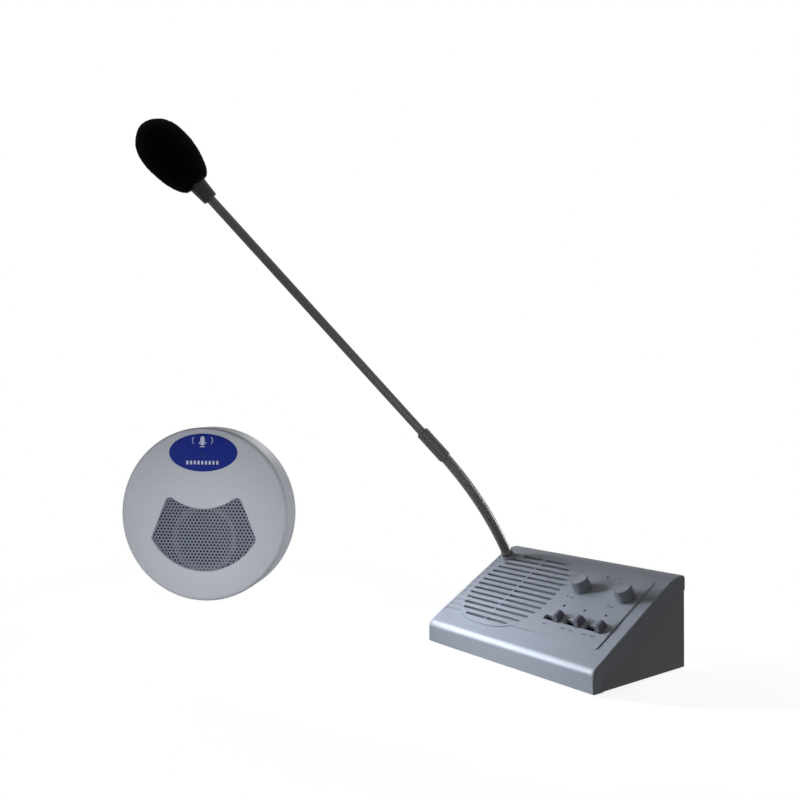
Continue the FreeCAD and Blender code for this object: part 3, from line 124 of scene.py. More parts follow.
class Finish:
    """A material, or the world, that is put together node by node."""

    def __init__(self, block):
        self.block = bpy.data.materials.new(block) if isinstance(block, str) else block
        self.block.use_nodes = True
        self.block.node_tree.nodes.clear()
        self.place = self.node("TexCoord", output="Object")

    def node(self, kind, settings=None, inputs=None, output=0):
        """Add a node: its settings, then the values or wires of its sockets."""
        tree = self.block.node_tree
        made = tree.nodes.new("ShaderNode" + kind)
        for key, value in (settings or {}).items():
            if key == "stops":
                ramp = made.color_ramp.elements
                while len(ramp) < len(value):
                    ramp.new(1.0)
                for stop, (at, shade) in zip(ramp, value):
                    stop.position, stop.color = at, (*shade, 1.0)
            else:
                setattr(made, key, value)
        for key, value in (inputs or {}).items():
            if isinstance(value, Wire):
                tree.links.new(value.socket, made.inputs[key])
            else:
                made.inputs[key].default_value = value
        return Wire(self, made.outputs[output]) if len(made.outputs) else made

    def speckle(self, size, detail=2.0, place=None):
        """Noise around 0.5 with features of about size millimetres."""
        return self.node("TexNoise", {}, {"Vector": place or self.place, "Scale": 1 / (size * MM),
                                          "Detail": detail}, "Fac")

    def cells(self, size, output="Distance"):
        """Cell pattern with cells of about size millimetres."""
        return self.node("TexVoronoi", {}, {"Vector": self.place, "Scale": 1 / (size * MM)}, output)

    def ramp(self, factor, *stops):
        """Colour from a row of (position, colour) stops."""
        return self.node("ValToRGB", {"stops": stops}, {"Fac": factor})

    def mix(self, factor, low, high):
        """Colour between two colours."""
        def shade(value):
            return value if isinstance(value, Wire) else (*value, 1.0)
        return self.node("Mix", {"data_type": "RGBA"}, {0: factor, 6: shade(low), 7: shade(high)}, 2)

    def bump(self, height, depth, edge=EDGE):
        """Bump whose height wire runs over depth millimetres, on edges rounded over by edge millimetres."""
        rounded = self.node("Bevel", {"samples": 4}, {"Radius": edge * MM})
        return self.node("Bump", {}, {"Height": height, "Distance": depth * MM, "Normal": rounded})

    def fades(self, value, start, end):
        """1 below start millimetres, 0 above end, and a soft step between them."""
        return self.node("MapRange", {"interpolation_type": "SMOOTHSTEP"},
                         {"Value": value, "From Min": start * MM, "From Max": end * MM,
                          "To Min": 1.0, "To Max": 0.0})

    def front_edge(self):
        """1 along the console's rounded front edge, 0 a few millimetres away and on its sides: where the
        highlight is painted.
        """
        off = self.node("VectorMath", {"operation": "SUBTRACT"}, {0: self.place, 1: EDGE_LINE * MM})
        parts = self.node("VectorMath", {"operation": "MULTIPLY"}, {0: off, 1: (0.0, 1.0, 1.0)})
        away = self.node("VectorMath", {"operation": "LENGTH"}, {0: parts}, "Value")
        across = self.node("VectorMath", {"operation": "MULTIPLY"}, {0: off, 1: (1.0, 0.0, 0.0)})
        aside = self.node("VectorMath", {"operation": "LENGTH"}, {0: across}, "Value")
        return self.fades(away, *EDGE_BAND) * self.fades(aside, *EDGE_ENDS)

    def done(self, color, roughness, normal, **fixed):
        """Finish with a Principled surface."""
        sockets = {"Base Color": color, "Roughness": roughness, "Normal": normal}
        sockets.update({name.replace("_", " "): value for name, value in fixed.items()})
        surface = self.node("BsdfPrincipled", {}, sockets)
        self.node("OutputMaterial", {}, {"Surface": surface})
        return self.block


def tones(color, spread):
    """A darker and a lighter neighbour of a colour."""
    return tuple(c * (1 - spread) for c in color), tuple(min(c * (1 + spread), 1.0) for c in color)


def moulded(name, color, roughness, grain=0.5, depth=0.01, spread=0.06, **fixed):
    """Moulded plastic or rubber: a fine spark-eroded grain, faint flow clouds and uneven gloss."""
    f = Finish(name)
    grains, clouds = f.speckle(grain, 3), f.speckle(18, 2)
    low, high = tones(color, spread)
    color = f.mix(0.6 * clouds + 0.4 * grains, low, high)
    return f.done(color, roughness - 0.05 + 0.12 * grains, f.bump(grains, depth), **fixed)


def painted(name, color, roughness, flake=0.16, peel=1.1, depth=0.006, spread=0.05, edge_highlight=False, **fixed):
    """Silver paint: fine flake, soft orange peel, slow clouds of tone; a highlight can be painted along the
    front edge.
    """
    f = Finish(name)
    flakes, skin, clouds = f.cells(flake, "Color"), f.speckle(peel, 2), f.speckle(40, 2)
    low, high = tones(color, spread)
    bright = f.node("SeparateColor", {}, {0: flakes})
    color = f.mix(0.55 * clouds + 0.45 * bright, low, high)
    roughness = roughness + 0.10 * bright - 0.04 * clouds
    # painted highlight: the paint along the front edge is made lighter and part metallic, as if light glinted
    # there
    if edge_highlight:
        highlight_mask = f.front_edge()
        color = f.mix(highlight_mask, color, EDGE_HIGHLIGHT)
        fixed["Metallic"] = EDGE_HIGHLIGHT_METAL * highlight_mask
    return f.done(color, roughness, f.bump(skin, depth), **fixed)


def metal(name, color, roughness, line=0.35, depth=0.004, spread=0.08, **fixed):
    """Plated, pressed or turned metal: fine tool lines that run across the piece's height."""
    f = Finish(name)
    stretched = f.node("VectorMath", {"operation": "MULTIPLY"}, {0: f.place, 1: (0.15, 0.15, 1.0)})
    lines, stains = f.speckle(line, 2, stretched), f.speckle(9, 3)
    low, high = tones(color, spread)
    color = f.mix(0.5 * lines + 0.5 * stains, low, high)
    return f.done(color, roughness - 0.06 + 0.14 * stains, f.bump(lines, depth), **fixed)


def woven(name, color, pitch, depth, roughness=0.9):
    """Woven cloth or fibrous paper."""
    f = Finish(name)
    waves = [f.node("TexWave", {"bands_direction": way}, {"Vector": f.place, "Scale": 0.31 / (pitch * MM),
                                                          "Distortion": 0.6}, "Fac") for way in "XY"]
    weave = waves[0] * waves[1]
    low, high = tones(color, 0.3)
    return f.done(f.mix(weave, low, high), roughness, f.bump(weave, depth), Specular_IOR_Level=0.2)


def circuit(name):
    """Solder mask over copper tracks."""
    f = Finish(name)
    tracks = f.node("TexBrick", {}, {"Vector": f.place, "Scale": 1 / (12 * MM), "Mortar Size": 0.06,
                                     "Brick Width": 0.9, "Row Height": 0.25}, "Fac")
    mask = f.mix(f.speckle(6, 2), (0.012, 0.11, 0.045), (0.02, 0.16, 0.07))
    color = f.mix(tracks, mask, (0.045, 0.26, 0.12))
    return f.done(color, 0.32 + 0.1 * f.speckle(2), f.bump(tracks, 0.03), Coat_Weight=0.4)


def sponge(name):
    """Open-cell acoustic foam."""
    f = Finish(name)
    pores, fine = f.cells(0.75), f.cells(0.33)
    height = 0.7 * pores + 0.3 * fine
    color = f.ramp(height, (0.05, (0.0003, 0.0003, 0.0005)), (0.6, (0.0016, 0.0016, 0.0021)))
    return f.done(color, 0.95, f.bump(1 - height, 0.5), Specular_IOR_Level=0.04)


SILVER = (0.40, 0.42, 0.465)
MATERIALS = {
    # the console's silver paint, with a painted highlight along its front edge
    "case_plastic": painted("silver_paint", SILVER, 0.52, edge_highlight=True, Specular_IOR_Level=0.22),
    # the base shell is darker than the silver top; part of that darkness is painted shade for the console's
    # shaded side
    "base_plastic": moulded("grey_moulding", (0.19, 0.182, 0.182), 0.5, grain=0.7, depth=0.02,
                            Specular_IOR_Level=0.35),
    "foot_rubber": moulded("black_rubber", (0.012, 0.012, 0.012), 0.85, grain=1.2, depth=0.05),
    "screw_steel": metal("zinc_plate", (0.52, 0.52, 0.54), 0.36, Metallic=1.0),
    "screen_cloth": woven("screen_cloth", (0.008, 0.008, 0.01), 0.5, 0.08),
    "basket_steel": metal("black_pressing", (0.03, 0.03, 0.032), 0.45, line=1.5, Specular_IOR_Level=0.5),
    "cone_paper": woven("cone_paper", (0.02, 0.02, 0.02), 0.9, 0.1),
    "magnet_ferrite": metal("ferrite", (0.05, 0.05, 0.055), 0.6, line=2.0, depth=0.02, Metallic=0.4),
    "pot_metal": metal("plated_sheet", (0.55, 0.55, 0.54), 0.34, Metallic=1.0),
    "shaft_metal": metal("turned_steel", (0.6, 0.6, 0.6), 0.3, line=0.2, Metallic=1.0),
    "knob_silver": painted("knob_silver", (0.335, 0.35, 0.39), 0.3, peel=0.7, Specular_IOR_Level=0.35),
    "switch_plastic": moulded("switch_moulding", (0.015, 0.015, 0.018), 0.5),
    # the levers are a dark slate grey; the darkness is partly painted shade from their shaded sides
    "lever_silver": painted("lever_slate", (0.095, 0.095, 0.125), 0.42, peel=0.6),
    "board_green": circuit("solder_mask"),
    "sink_aluminium": metal("extruded_aluminium", (0.6, 0.6, 0.62), 0.38, line=0.5, Metallic=1.0),
    "can_sleeve": moulded("can_sleeve", (0.012, 0.02, 0.07), 0.3, grain=2.0),
    "lamp_lens": moulded("dark_lens", (0.02, 0.018, 0.022), 0.15, grain=2.5, depth=0.004, Coat_Weight=0.5),
    "neck_black": moulded("neck_wire", (0.105, 0.098, 0.1), 0.45, grain=0.5, depth=0.01, spread=0.12,
                          Specular_IOR_Level=0.7),
    "ferrule_dark": moulded("ferrule_paint", (0.088, 0.084, 0.082), 0.42, grain=0.7, depth=0.012, spread=0.1,
                            Specular_IOR_Level=0.5),
    "tube_dark": moulded("tube_paint", (0.075, 0.071, 0.071), 0.42, grain=0.6, depth=0.012, spread=0.12,
                         Specular_IOR_Level=0.65),
    "collar_grey": moulded("collar_moulding", (0.05, 0.05, 0.051), 0.5, grain=0.6, depth=0.02,
                           Specular_IOR_Level=0.3),
    "capsule_metal": metal("capsule_can", (0.45, 0.45, 0.46), 0.35, line=0.3, Metallic=1.0),
    "foam_black": sponge("black_foam"),
    "badge_blue": moulded("badge_blue", (0.006, 0.018, 0.19), 0.33, grain=1.0, depth=0.004, spread=0.16,
                          Specular_IOR_Level=0.1),
    "mesh_metal": moulded("mesh_paint", (0.15, 0.17, 0.235), 0.42, grain=0.6, depth=0.01,
                          Specular_IOR_Level=0.3),
    "socket_black": moulded("socket_moulding", (0.014, 0.014, 0.014), 0.45),
    "terminal_green": moulded("terminal_moulding", (0.02, 0.16, 0.055), 0.4),
}
PRINT_DARK = moulded("panel_print", (0.03, 0.03, 0.075), 0.55, spread=0.1)
PRINT_PALE = moulded("badge_print", (0.42, 0.46, 0.62), 0.5, spread=0.1)
# near-black plate behind the window's sheet: painted shade for what shows through its holes
BAFFLE_SHADE = moulded("baffle_felt", (0.006, 0.006, 0.008), 0.9, spread=0.1, Specular_IOR_Level=0.1)

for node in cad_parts.values():
    for place in node.material_slots:
        place.material = MATERIALS[place.material.name.split(".")[0]]


# ---- mesh pieces ------------------------------------------------------------------------------------------
SAME_POINT = 0.001                 # points nearer to each other than this are one


def piece(name, points, faces, material, place=None, smooth=True):
    """A mesh object from millimetre points in the frame that place gives."""
    place = place or Matrix.Scale(MM, 4)
    mesh = bpy.data.meshes.new(name)
    mesh.from_pydata([place @ Vector(p) for p in points], [], faces)
    body = bmesh.new()
    body.from_mesh(mesh)
    bmesh.ops.remove_doubles(body, verts=body.verts, dist=SAME_POINT * MM)
    bmesh.ops.recalc_face_normals(body, faces=body.faces)
    body.to_mesh(mesh)
    body.free()
    for face in mesh.polygons:
        face.use_smooth = smooth
    mesh.materials.append(material)
    made = bpy.data.objects.new(name, mesh)
    bpy.context.scene.collection.objects.link(made)
    return made


def skin(rings):
    """Points and faces of a closed skin over rings of equal count; its two ends are capped."""
    count = len(rings[0])
    points = [p for ring in rings for p in ring]
    faces = [(low + i, low + (i + 1) % count, low + count + (i + 1) % count, low + count + i)
             for low in range(0, (len(rings) - 1) * count, count) for i in range(count)]
    for first in (0, (len(rings) - 1) * count):
        middle = len(points)
        points.append(sum((Vector(p) for p in points[first:first + count]), Vector()) / count)
        faces += [(first + i, first + (i + 1) % count, middle) for i in range(count)]
    return points, faces


# ---- the flexible neck -------------------------------------------------------------------------------------
WIRE_PITCH, WIRE_CREST, WIRE_ROOT = 2.1, 5.2, 4.85
RING_POINTS, RINGS_A_TURN, FEWEST_RINGS = 40, 8, 8
BEND_STEPS = 60                    # straight steps that measure a bend's length


def panel_point(x, s, h):
    """A point on the panel in millimetres of the part's frame."""
    return (PANEL @ Vector((x, s, h))) / MM


def neck_line():
    """Joint centres of the neck, and the way each length of it runs."""
    angle = math.acos(PANEL_OUT.dot(TUBE_WAY))
    side = (TUBE_WAY - PANEL_OUT * PANEL_OUT.dot(TUBE_WAY)).normalized()
    ways = [PANEL_OUT * math.cos(angle * i / NECK_JOINTS) + side * math.sin(angle * i / NECK_JOINTS)
            for i in range(NECK_JOINTS + 1)]
    centres = [panel_point(NECK_X, NECK_S, FIRST_JOINT)]
    for way in ways[1:-1]:
        centres.append(centres[-1] + way * NECK_PITCH)
    return centres, ways


def wound_rings(start, joint, end, across, turned):
    """Rings of a spiral-wound sleeve, bent round a joint from start to end, and where its winding ends."""
    def at(t):
        return start.lerp(joint, t).lerp(joint.lerp(end, t), t)
    length = sum((at((i + 1) / BEND_STEPS) - at(i / BEND_STEPS)).length for i in range(BEND_STEPS))
    count = max(FEWEST_RINGS, round(length / WIRE_PITCH * RINGS_A_TURN))
    rings = []
    for i in range(count + 1):
        t = i / count
        way = ((joint - start) * (1 - t) + (end - joint) * t).normalized()
        other = way.cross(across)
        middle = at(t)
        ring = []
        for k in range(RING_POINTS):
            angle = 2 * math.pi * k / RING_POINTS
            phase = ((turned + length * t) / WIRE_PITCH - k / RING_POINTS) % 1.0
            swell = math.sqrt(max(0.0, 1 - (2 * phase - 1) ** 2))
            radius = WIRE_ROOT + (WIRE_CREST - WIRE_ROOT) * swell
            ring.append(middle + (across * math.cos(angle) + other * math.sin(angle)) * radius)
        rings.append(ring)
    return rings, turned + length


neck_centres, neck_ways = neck_line()
across = PANEL_OUT.cross(TUBE_WAY).normalized()
neck_bodies = ["console"] + [f"link_{i}" for i in range(1, NECK_JOINTS)] + ["mic_head"]
winding = 0.0
for i, centre in enumerate(neck_centres):
    start = centre - neck_ways[i] * (FIRST_JOINT - NECK_FOOT if i == 0 else NECK_PITCH / 2)
    end = centre + neck_ways[i + 1] * (FERRULE_FOOT if i == NECK_JOINTS - 1 else NECK_PITCH / 2)
    rings, winding = wound_rings(start, centre, end, across, winding)
    sleeve = piece(f"neck_sleeve_{i + 1}", *skin(rings), MATERIALS["neck_black"])
    if i < NECK_JOINTS - 1:
        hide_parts(f"neck_link_{i + 1}")
    neck_bodies[i + 1]
    start * MM
    end * MM
    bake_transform(sleeve)


# ---- foam windscreen ---------------------------------------------------------------------------------------
FOAM_RINGS, FOAM_POINTS, CURVE_STEPS = 130, 150, 60
FOAM_LUMPS = ((0.35, 11), (0.30, 1.7), (0.18, 0.8))     # height and size of each kind of lump
BORE_WALL, TIP_RADIUS = 1.2, 0.4
mic_foot = neck_centres[-1] + TUBE_WAY * (FERRULE_TOP + TUBE_VISIBLE + MIC_COLLAR)


def foam_outline():
    """(radius, height) points of the egg from its waist to its top, on a curve through knots."""
    knots = [Vector(p) for p in ((FOAM_WAIST, 0), (19.65, 13.7), (FOAM_RADIUS, FOAM_WIDEST), (17.94, 57.24),
                                 (0, FOAM_LENGTH))]
    pulls = [Vector((12, 8.4)), Vector((6.5, 18)), Vector((-0.5, 22)), Vector((-11, 16)), Vector((-20, 0))]
    line = []
    for a, b, pull_a, pull_b in zip(knots, knots[1:], pulls, pulls[1:]):
        corners = [corner.to_3d() for corner in (a, a + pull_a / 3, b - pull_b / 3, b)]
        line += interpolate_bezier(*corners, CURVE_STEPS)[:-1]
    return line + [knots[-1].to_3d()]


def foam_rings():
    """Rings of the windscreen, lumpy outside, with the bore for the capsule."""
    line = foam_outline()
    side = TUBE_WAY.orthogonal().normalized()
    other = TUBE_WAY.cross(side)
    steps = [line[round(i * (len(line) - 1) / FOAM_RINGS)] for i in range(FOAM_RINGS)]
    rings = []

    def ring(radius, height, lumpy):
        made = []
        for k in range(FOAM_POINTS):
            angle = 2 * math.pi * k / FOAM_POINTS
            out = side * math.cos(angle) + other * math.sin(angle)
            point = mic_foot + TUBE_WAY * height + out * radius
            if lumpy:
                push = sum(rise * noise.noise(point / size) for rise, size in FOAM_LUMPS)
                point += (point - mic_foot - TUBE_WAY * FOAM_LENGTH / 2).normalized() * push
            made.append(point)
        return made

    for radius, height in ((BORE_RADIUS, BORE_DEPTH), (BORE_RADIUS, 0.0), (FOAM_WAIST - BORE_WALL, 0.0)):
        rings.append(ring(radius, height, False))
    for at in steps[1:]:
        rings.append(ring(max(at.x, TIP_RADIUS), at.y, True))
    return rings


foam = piece("foam_cover", *skin(foam_rings()), MATERIALS["foam_black"])
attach(foam, "windscreen")
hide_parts("foam_windscreen")


# ---- perforated sheet of the window unit -------------------------------------------------------------------
HOLE_PITCH, HOLE_RADIUS, HOLE_POINTS = 4.15, 1.4, 12
CELL_ROWS, CELL_COLUMNS = range(-22, 12), range(-18, 19)            # enough to cover the fan
FAN_POINTS = 48                    # steps along each of the fan's two arcs
BORDER_TRIM = 0.6                  # a cell's middle lies at least this far inside the sheet's border
LAST_HOLES = 1.5                   # a cell whose middle is further outside the opening than this has no hole
SHEET_WELD = 0.02                  # corners of neighbouring cells nearer to each other than this are one


def fan_outline():
    """Corners of the fan-shaped opening, finely sampled: concave top, straight sides, convex bottom."""
    def arc(middle_y, radius, half):
        swing = math.asin(half / radius)
        return [Vector((radius * math.sin(a), middle_y - radius * math.cos(a)))
                for a in (swing - 2 * swing * i / FAN_POINTS for i in range(FAN_POINTS + 1))]
    top = arc(BADGE_Y, FAN_TOP_RADIUS, FAN_TOP_HALF)
    return top + arc(FAN_BOTTOM_Y, FAN_BOTTOM_RADIUS, FAN_LOW_HALF)[::-1]


def nearest(point, outline):
    """Nearest point of a closed outline, and whether the point is inside it."""
    best, inside = None, False
    for a, b in zip(outline, outline[1:] + outline[:1]):
        along = b - a
        t = min(1.0, max(0.0, (point - a).dot(along) / max(along.length_squared, 1e-9)))
        near = a + along * t
        if best is None or (point - near).length < (point - best).length:
            best = near
        if (a.y > point.y) != (b.y > point.y) and point.x < a.x + (point.y - a.y) * along.x / along.y:
            inside = not inside
    return best, inside


def perforated():
    """Points and faces of one side of the sheet: six-cornered cells, each with a round hole."""
    outline, points, faces = fan_outline(), [], []
    row = HOLE_PITCH * math.sqrt(3) / 2
    for j in CELL_ROWS:
        for i in CELL_COLUMNS:
            middle = Vector(((i + 0.5 * (j % 2)) * HOLE_PITCH, j * row))
            near, inside = nearest(middle, outline)
            gap = (middle - near).length
            if not inside and gap > MESH_OVERLAP - BORDER_TRIM:
                continue
            corners = []
            for k in range(6):
                angle = math.pi / 6 + math.pi / 3 * k
                corner = middle + Vector((math.cos(angle), math.sin(angle))) * (HOLE_PITCH / math.sqrt(3))
                close, within = nearest(corner, outline)
                if not within and (corner - close).length > MESH_OVERLAP:
                    corner = close + (corner - close).normalized() * MESH_OVERLAP
                corners.append(corner)
            first = len(points)
            points += [(c.x, c.y, MESH_BACK) for c in corners]
            if not inside and gap > LAST_HOLES:
                faces.append(tuple(range(first, first + 6)))
                continue
            for k in range(HOLE_POINTS):
                angle = math.pi / 6 + 2 * math.pi * k / HOLE_POINTS
                points.append((middle.x + HOLE_RADIUS * math.cos(angle),
                               middle.y + HOLE_RADIUS * math.sin(angle), MESH_BACK))
            for k in range(6):
                a, b = first + k, first + (k + 1) % 6
                h = [first + 6 + (2 * k + m) % HOLE_POINTS for m in range(3)]
                faces += [(a, h[1], h[0]), (a, b, h[1]), (b, h[2], h[1])]
    return points, faces


sheet = piece("perforated_sheet", *perforated(), MATERIALS["mesh_metal"], UNIT, smooth=False)
grown = bmesh.new()
grown.from_mesh(sheet.data)
bmesh.ops.remove_doubles(grown, verts=grown.verts, dist=SHEET_WELD * MM)
drawn = bmesh.ops.extrude_face_region(grown, geom=grown.faces[:])
bmesh.ops.translate(grown, vec=UNIT_OUT * MESH_THICKNESS * MM,
                    verts=[v for v in drawn["geom"] if isinstance(v, bmesh.types.BMVert)])
bmesh.ops.recalc_face_normals(grown, faces=grown.faces)
grown.to_mesh(sheet.data)
grown.free()
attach(sheet, "window_unit")
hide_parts("window_mesh")


# ---- dark plate behind the sheet, painted shade that shows through its holes -------------------------------
SPEAKER_Y, BAFFLE_HOLE, BAFFLE_OVERLAP, BAFFLE_LEVELS = -28.0, 38.6, 3.0, (30.3, 31.1)
BAFFLE_LEAST = 0.3                 # least width of the plate round its hole
BAFFLE_POINTS, BAFFLE_FAR, BAFFLE_HALVINGS = 120, 90.0, 12


def baffle():
    """Points and faces of the plate round the loudspeaker; halving finds the opening's edge on each ray."""
    outline, points, faces = fan_outline(), [], []
    for k in range(BAFFLE_POINTS):
        angle = 2 * math.pi * k / BAFFLE_POINTS
        middle, way = Vector((0, SPEAKER_Y)), Vector((math.cos(angle), math.sin(angle)))
        low, high = 0.0, BAFFLE_FAR
        for _ in range(BAFFLE_HALVINGS):
            half = (low + high) / 2
            low, high = (half, high) if nearest(middle + way * half, outline)[1] else (low, half)
        outer = max(low + BAFFLE_OVERLAP, BAFFLE_HOLE + BAFFLE_LEAST)
        loop = [(BAFFLE_HOLE, 0), (BAFFLE_HOLE, 1), (outer, 1), (outer, 0)]
        points += [(*(middle + way * reach), BAFFLE_LEVELS[level]) for reach, level in loop]
        after = 4 * ((k + 1) % BAFFLE_POINTS)
        faces += [(4 * k + j, 4 * k + (j + 1) % 4, after + (j + 1) % 4, after + j) for j in range(4)]
    return points, faces


plate = piece("window_baffle", *baffle(), BAFFLE_SHADE, UNIT, smooth=False)
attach(plate, "window_unit")


# ---- print on the panel and on the badge -------------------------------------------------------------------
PRINT = 0.05                       # thickness of a printed mark
FIELD = FIELD_RISE + 0.01          # where the print on the raised field starts
BADGE_GAP = 0.02                   # what the badge's print stands off it
CAPITAL = 0.7                      # a capital's height as a share of the font's size


def flat_marks(name, shapes, place, height, material, body):
    """Thin printed shapes, each a convex outline of (x, y) points, in one piece."""
    points, faces = [], []
    for shape in shapes:
        first, count = len(points), len(shape)
        lift = height if callable(height) else (lambda x, y: height)
        points += [(x, y, lift(x, y) + thick) for thick in (0, PRINT) for x, y in shape]
        faces.append(tuple(range(first + count - 1, first - 1, -1)))
        faces.append(tuple(range(first + count, first + 2 * count)))
        faces += [(first + k, first + (k + 1) % count, first + count + (k + 1) % count, first + count + k)
                  for k in range(count)]
    made = piece(name, points, faces, material, place, smooth=False)
    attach(made, body)


def bar(x, y, width, height):
    """Corners of a small rectangle about (x, y)."""
    return [(x + a * width / 2, y + b * height / 2) for a, b in ((-1, -1), (1, -1), (1, 1), (-1, 1))]


def dot(x, y, radius, count=20):
    """Corners of a small disc."""
    return [(x + radius * math.cos(2 * math.pi * k / count), y + radius * math.sin(2 * math.pi * k / count))
            for k in range(count)]


def bow(x, y, radius, width, start, end, count=14):
    """Short quads along an arc of a printed line, angles in degrees."""
    angles = [math.radians(start + (end - start) * k / count) for k in range(count + 1)]
    inner, outer = ([(x + r * math.cos(a), y + r * math.sin(a)) for a in angles]
                    for r in (radius - width / 2, radius + width / 2))
    return [[inner[k], outer[k], outer[k + 1], inner[k + 1]] for k in range(count)]


def lettering(name, words, place, height, material, body):
    """Plain printed words: each is (text, x, y, letter height)."""
    points, faces = [], []
    for text, x, y, tall in words:
        curve = bpy.data.curves.new(name, "FONT")
        curve.body, curve.size, curve.align_x, curve.align_y = text, tall / CAPITAL, "CENTER", "CENTER"
        curve.extrude, curve.resolution_u = PRINT / 2, 3
        holder = bpy.data.objects.new(name, curve)
        mesh = bpy.data.meshes.new_from_object(holder)
        first = len(points)
        points += [(v.co.x + x, v.co.y + y, v.co.z + height + PRINT / 2) for v in mesh.vertices]
        faces += [tuple(first + i for i in face.vertices) for face in mesh.polygons]
        bpy.data.objects.remove(holder)
        bpy.data.meshes.remove(mesh)
        bpy.data.curves.remove(curve)
    made = piece(name, points, faces, material, place, smooth=False)
    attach(made, body)


lettering("panel_words",
          [("ON", 21.5, 33.8, 2.0), ("OFF", 42.0, 33.6, 2.2), ("ON", 51.0, 33.6, 2.2),
           ("ON", 65.5, 33.6, 2.2), ("OFF", 74.0, 33.6, 2.2), ("ON", 53.9, 105.4, 2.0)],
          PANEL, FIELD, PRINT_DARK, "console")
flat_marks("panel_marks",
           [dot(19.2, 71.5, 0.9), bar(24.6, 71.0, 3.6, 0.9), dot(64.6, 70.7, 0.9), bar(68.6, 70.2, 3.2, 0.9)],
           PANEL, FIELD, PRINT_DARK, "console")


def badge_height(x, y):
    """Height of the badge's face over the window unit's back."""
    return UNIT_DEPTH + UNIT_DOME * (1 - (x * x + y * y) / UNIT_RADIUS ** 2) + BADGE_PROUD + BADGE_GAP


cradle, left_wave = bow(0, 84.9, 4.7, 1.0, 200, 340), bow(-7.2, 85.1, 4.9, 0.9, 130, 230)
right_wave = bow(7.2, 85.1, 4.9, 0.9, -50, 50)
microphone = [dot(0, 87.3, 2.6), bar(0, 85.2, 5.2, 4.1), dot(0, 83.2, 2.6)]
stand = [bar(0, 79.0, 1.0, 2.4), bar(0, 77.8, 6.2, 1.0)]
level_bars = [bar(-18 + 4.5 * k, 59.6, 2.5, 4.2) for k in range(9)]
flat_marks("badge_marks", cradle + left_wave + right_wave + microphone + stand + level_bars,
           UNIT, badge_height, PRINT_PALE, "window_unit")


# ---- floor, light and camera, in metres --------------------------------------------------------------------
FLOOR_REACH, FLOOR_LEVEL = 3000.0, -2.0             # in millimetres, as every piece is
FLOOR_WHITE, FLOOR_DULL = (0.9, 0.9, 0.9, 1), (0.2, 0.2, 0.2, 1)
FLOOR_GLOW, GLOW_SHARE = 2.89, 0.3
SHADOWS = (((0.0, 0.0, 0.0), 0.15), ((-0.41, -0.13, 0.0), 0.09))    # where shadows show: middle and radius
SHADOW_FADE = 0.2                                   # over which the floor turns plain white outside them
SKY_DIM, SKY_SHOWN = 0.1, 1.0                       # the world for light that bounces, and as it is seen


def through_glass(finish):
    """1 for rays from the camera, a mirror or glass; 0 for light that bounces."""
    seen, mirrored, through = (finish.node("LightPath", output=f"Is {kind} Ray")
                               for kind in ("Camera", "Glossy", "Transmission"))
    return seen + mirrored + through > 0.5


def floor_finish():
    """White floor that keeps a soft shadow near the two units and gives little light back."""
    f = Finish("floor_white")
    far = 1.0
    for middle, radius in SHADOWS:
        apart = f.node("VectorMath", {"operation": "DISTANCE"}, {0: f.place, 1: middle}, "Value")
        far = far * f.node("MapRange", {"interpolation_type": "SMOOTHSTEP"},
                           {"Value": apart, "From Min": radius, "From Max": radius + SHADOW_FADE})
    lit = f.node("BsdfDiffuse", {}, {"Color": FLOOR_WHITE})
    glow = f.node("Emission", {}, {"Strength": FLOOR_GLOW})
    near = f.node("MixShader", {}, {0: GLOW_SHARE, 1: lit, 2: glow})
    shown = f.node("MixShader", {}, {0: far, 1: near, 2: f.node("Emission", {}, {"Strength": 1.0})})
    dull = f.node("BsdfDiffuse", {}, {"Color": FLOOR_DULL})
    whole = f.node("MixShader", {}, {0: through_glass(f), 1: dull, 2: shown})
    f.node("OutputMaterial", {}, {"Surface": whole})
    return f.block


floor_corners = [(x * FLOOR_REACH, y * FLOOR_REACH, FLOOR_LEVEL)
                 for x, y in ((-1, -1), (1, -1), (1, 1), (-1, 1))]
floor = piece("studio_floor", floor_corners, [(0, 1, 2, 3)], floor_finish(), smooth=False)

bpy.context.scene.world = bpy.data.worlds.new("studio")
sky = Finish(bpy.context.scene.world)
strength = SKY_DIM + (SKY_SHOWN - SKY_DIM) * through_glass(sky)
background = sky.node("Background", {}, {"Color": (1, 1, 1, 1), "Strength": strength})
sky.node("OutputWorld", {}, {"Surface": background})


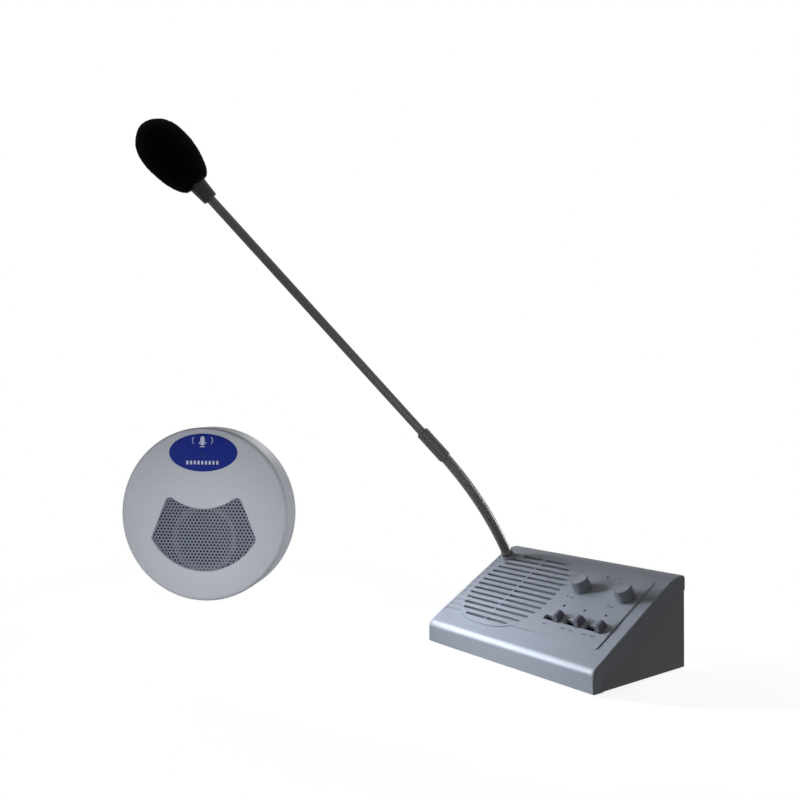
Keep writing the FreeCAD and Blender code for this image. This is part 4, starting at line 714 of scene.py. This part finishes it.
def lamp(name, place, aim, size, level, spread=180, color=(1, 1, 1)):
    """Area lamp aimed at a point; at a spread of 180, level 1 lights a white facing it there to about 1."""
    data = bpy.data.lights.new(name, "AREA")
    data.shape, data.size, data.color, data.spread = "DISK", size, color, math.radians(spread)
    away = Vector(place) - Vector(aim)
    data.energy = level * math.pi ** 2 * away.length_squared
    made = bpy.data.objects.new(name, data)
    made.location = place
    made.rotation_euler = away.to_track_quat("Z", "Y").to_euler()
    made.visible_camera = False
    bpy.context.scene.collection.objects.link(made)


ROUND, COOL = (-0.39, -0.155, 0.098), (0.83, 0.9, 1.0)     # the round unit's face, and a cool white
lamp("left", (-0.2716, -0.1134, 0.22), (-0.07, -0.04, 0.04), 0.1, 0.12, spread=60, color=COOL)
lamp("front", (-0.5356, -0.4231, 0.1912), (0.05, -0.085, 0.01), 0.12, 0.027, spread=26, color=COOL)
lamp("back", (0.0, 0.9, 0.035), (0.0, 0.06, 0.03), 0.07, 0.15, spread=60)
lamp("round_back", (-0.7, 0.35, 0.45), ROUND, 0.2, 0.024, spread=50)
lamp("round_side", (0.2968, -0.2761, 0.037), ROUND, 0.2, 0.0283, spread=50)
lamp("round_front", (-0.39, -0.8512, 0.0248), ROUND, 0.2, 0.038, spread=50)
lamp("round_low", (-0.19, -0.36, 0.045), (-0.39, -0.155, 0.03), 0.08, 0.173, spread=100)

LENS, SENSOR = 39.15, 36.0         # in millimetres
CAMERA_PLACE = (0.540, -0.5881, 0.2243)
CAMERA_RIGHT, CAMERA_UP = Vector((0.6112, 0.7915, -0.0011)), Vector((0.0046, -0.0022, 1.0))
CAMERA_BACK = Vector((0.7915, -0.6112, -0.005))
camera = bpy.data.objects.new("camera", bpy.data.cameras.new("camera"))
camera.data.lens, camera.data.sensor_width = LENS, SENSOR
camera_turn = Matrix((CAMERA_RIGHT, CAMERA_UP, CAMERA_BACK)).transposed().to_4x4()
camera.matrix_world = Matrix.Translation(CAMERA_PLACE) @ camera_turn
bpy.context.scene.collection.objects.link(camera)
bpy.context.scene.camera = camera
bpy.context.scene.view_settings.view_transform = "Standard"
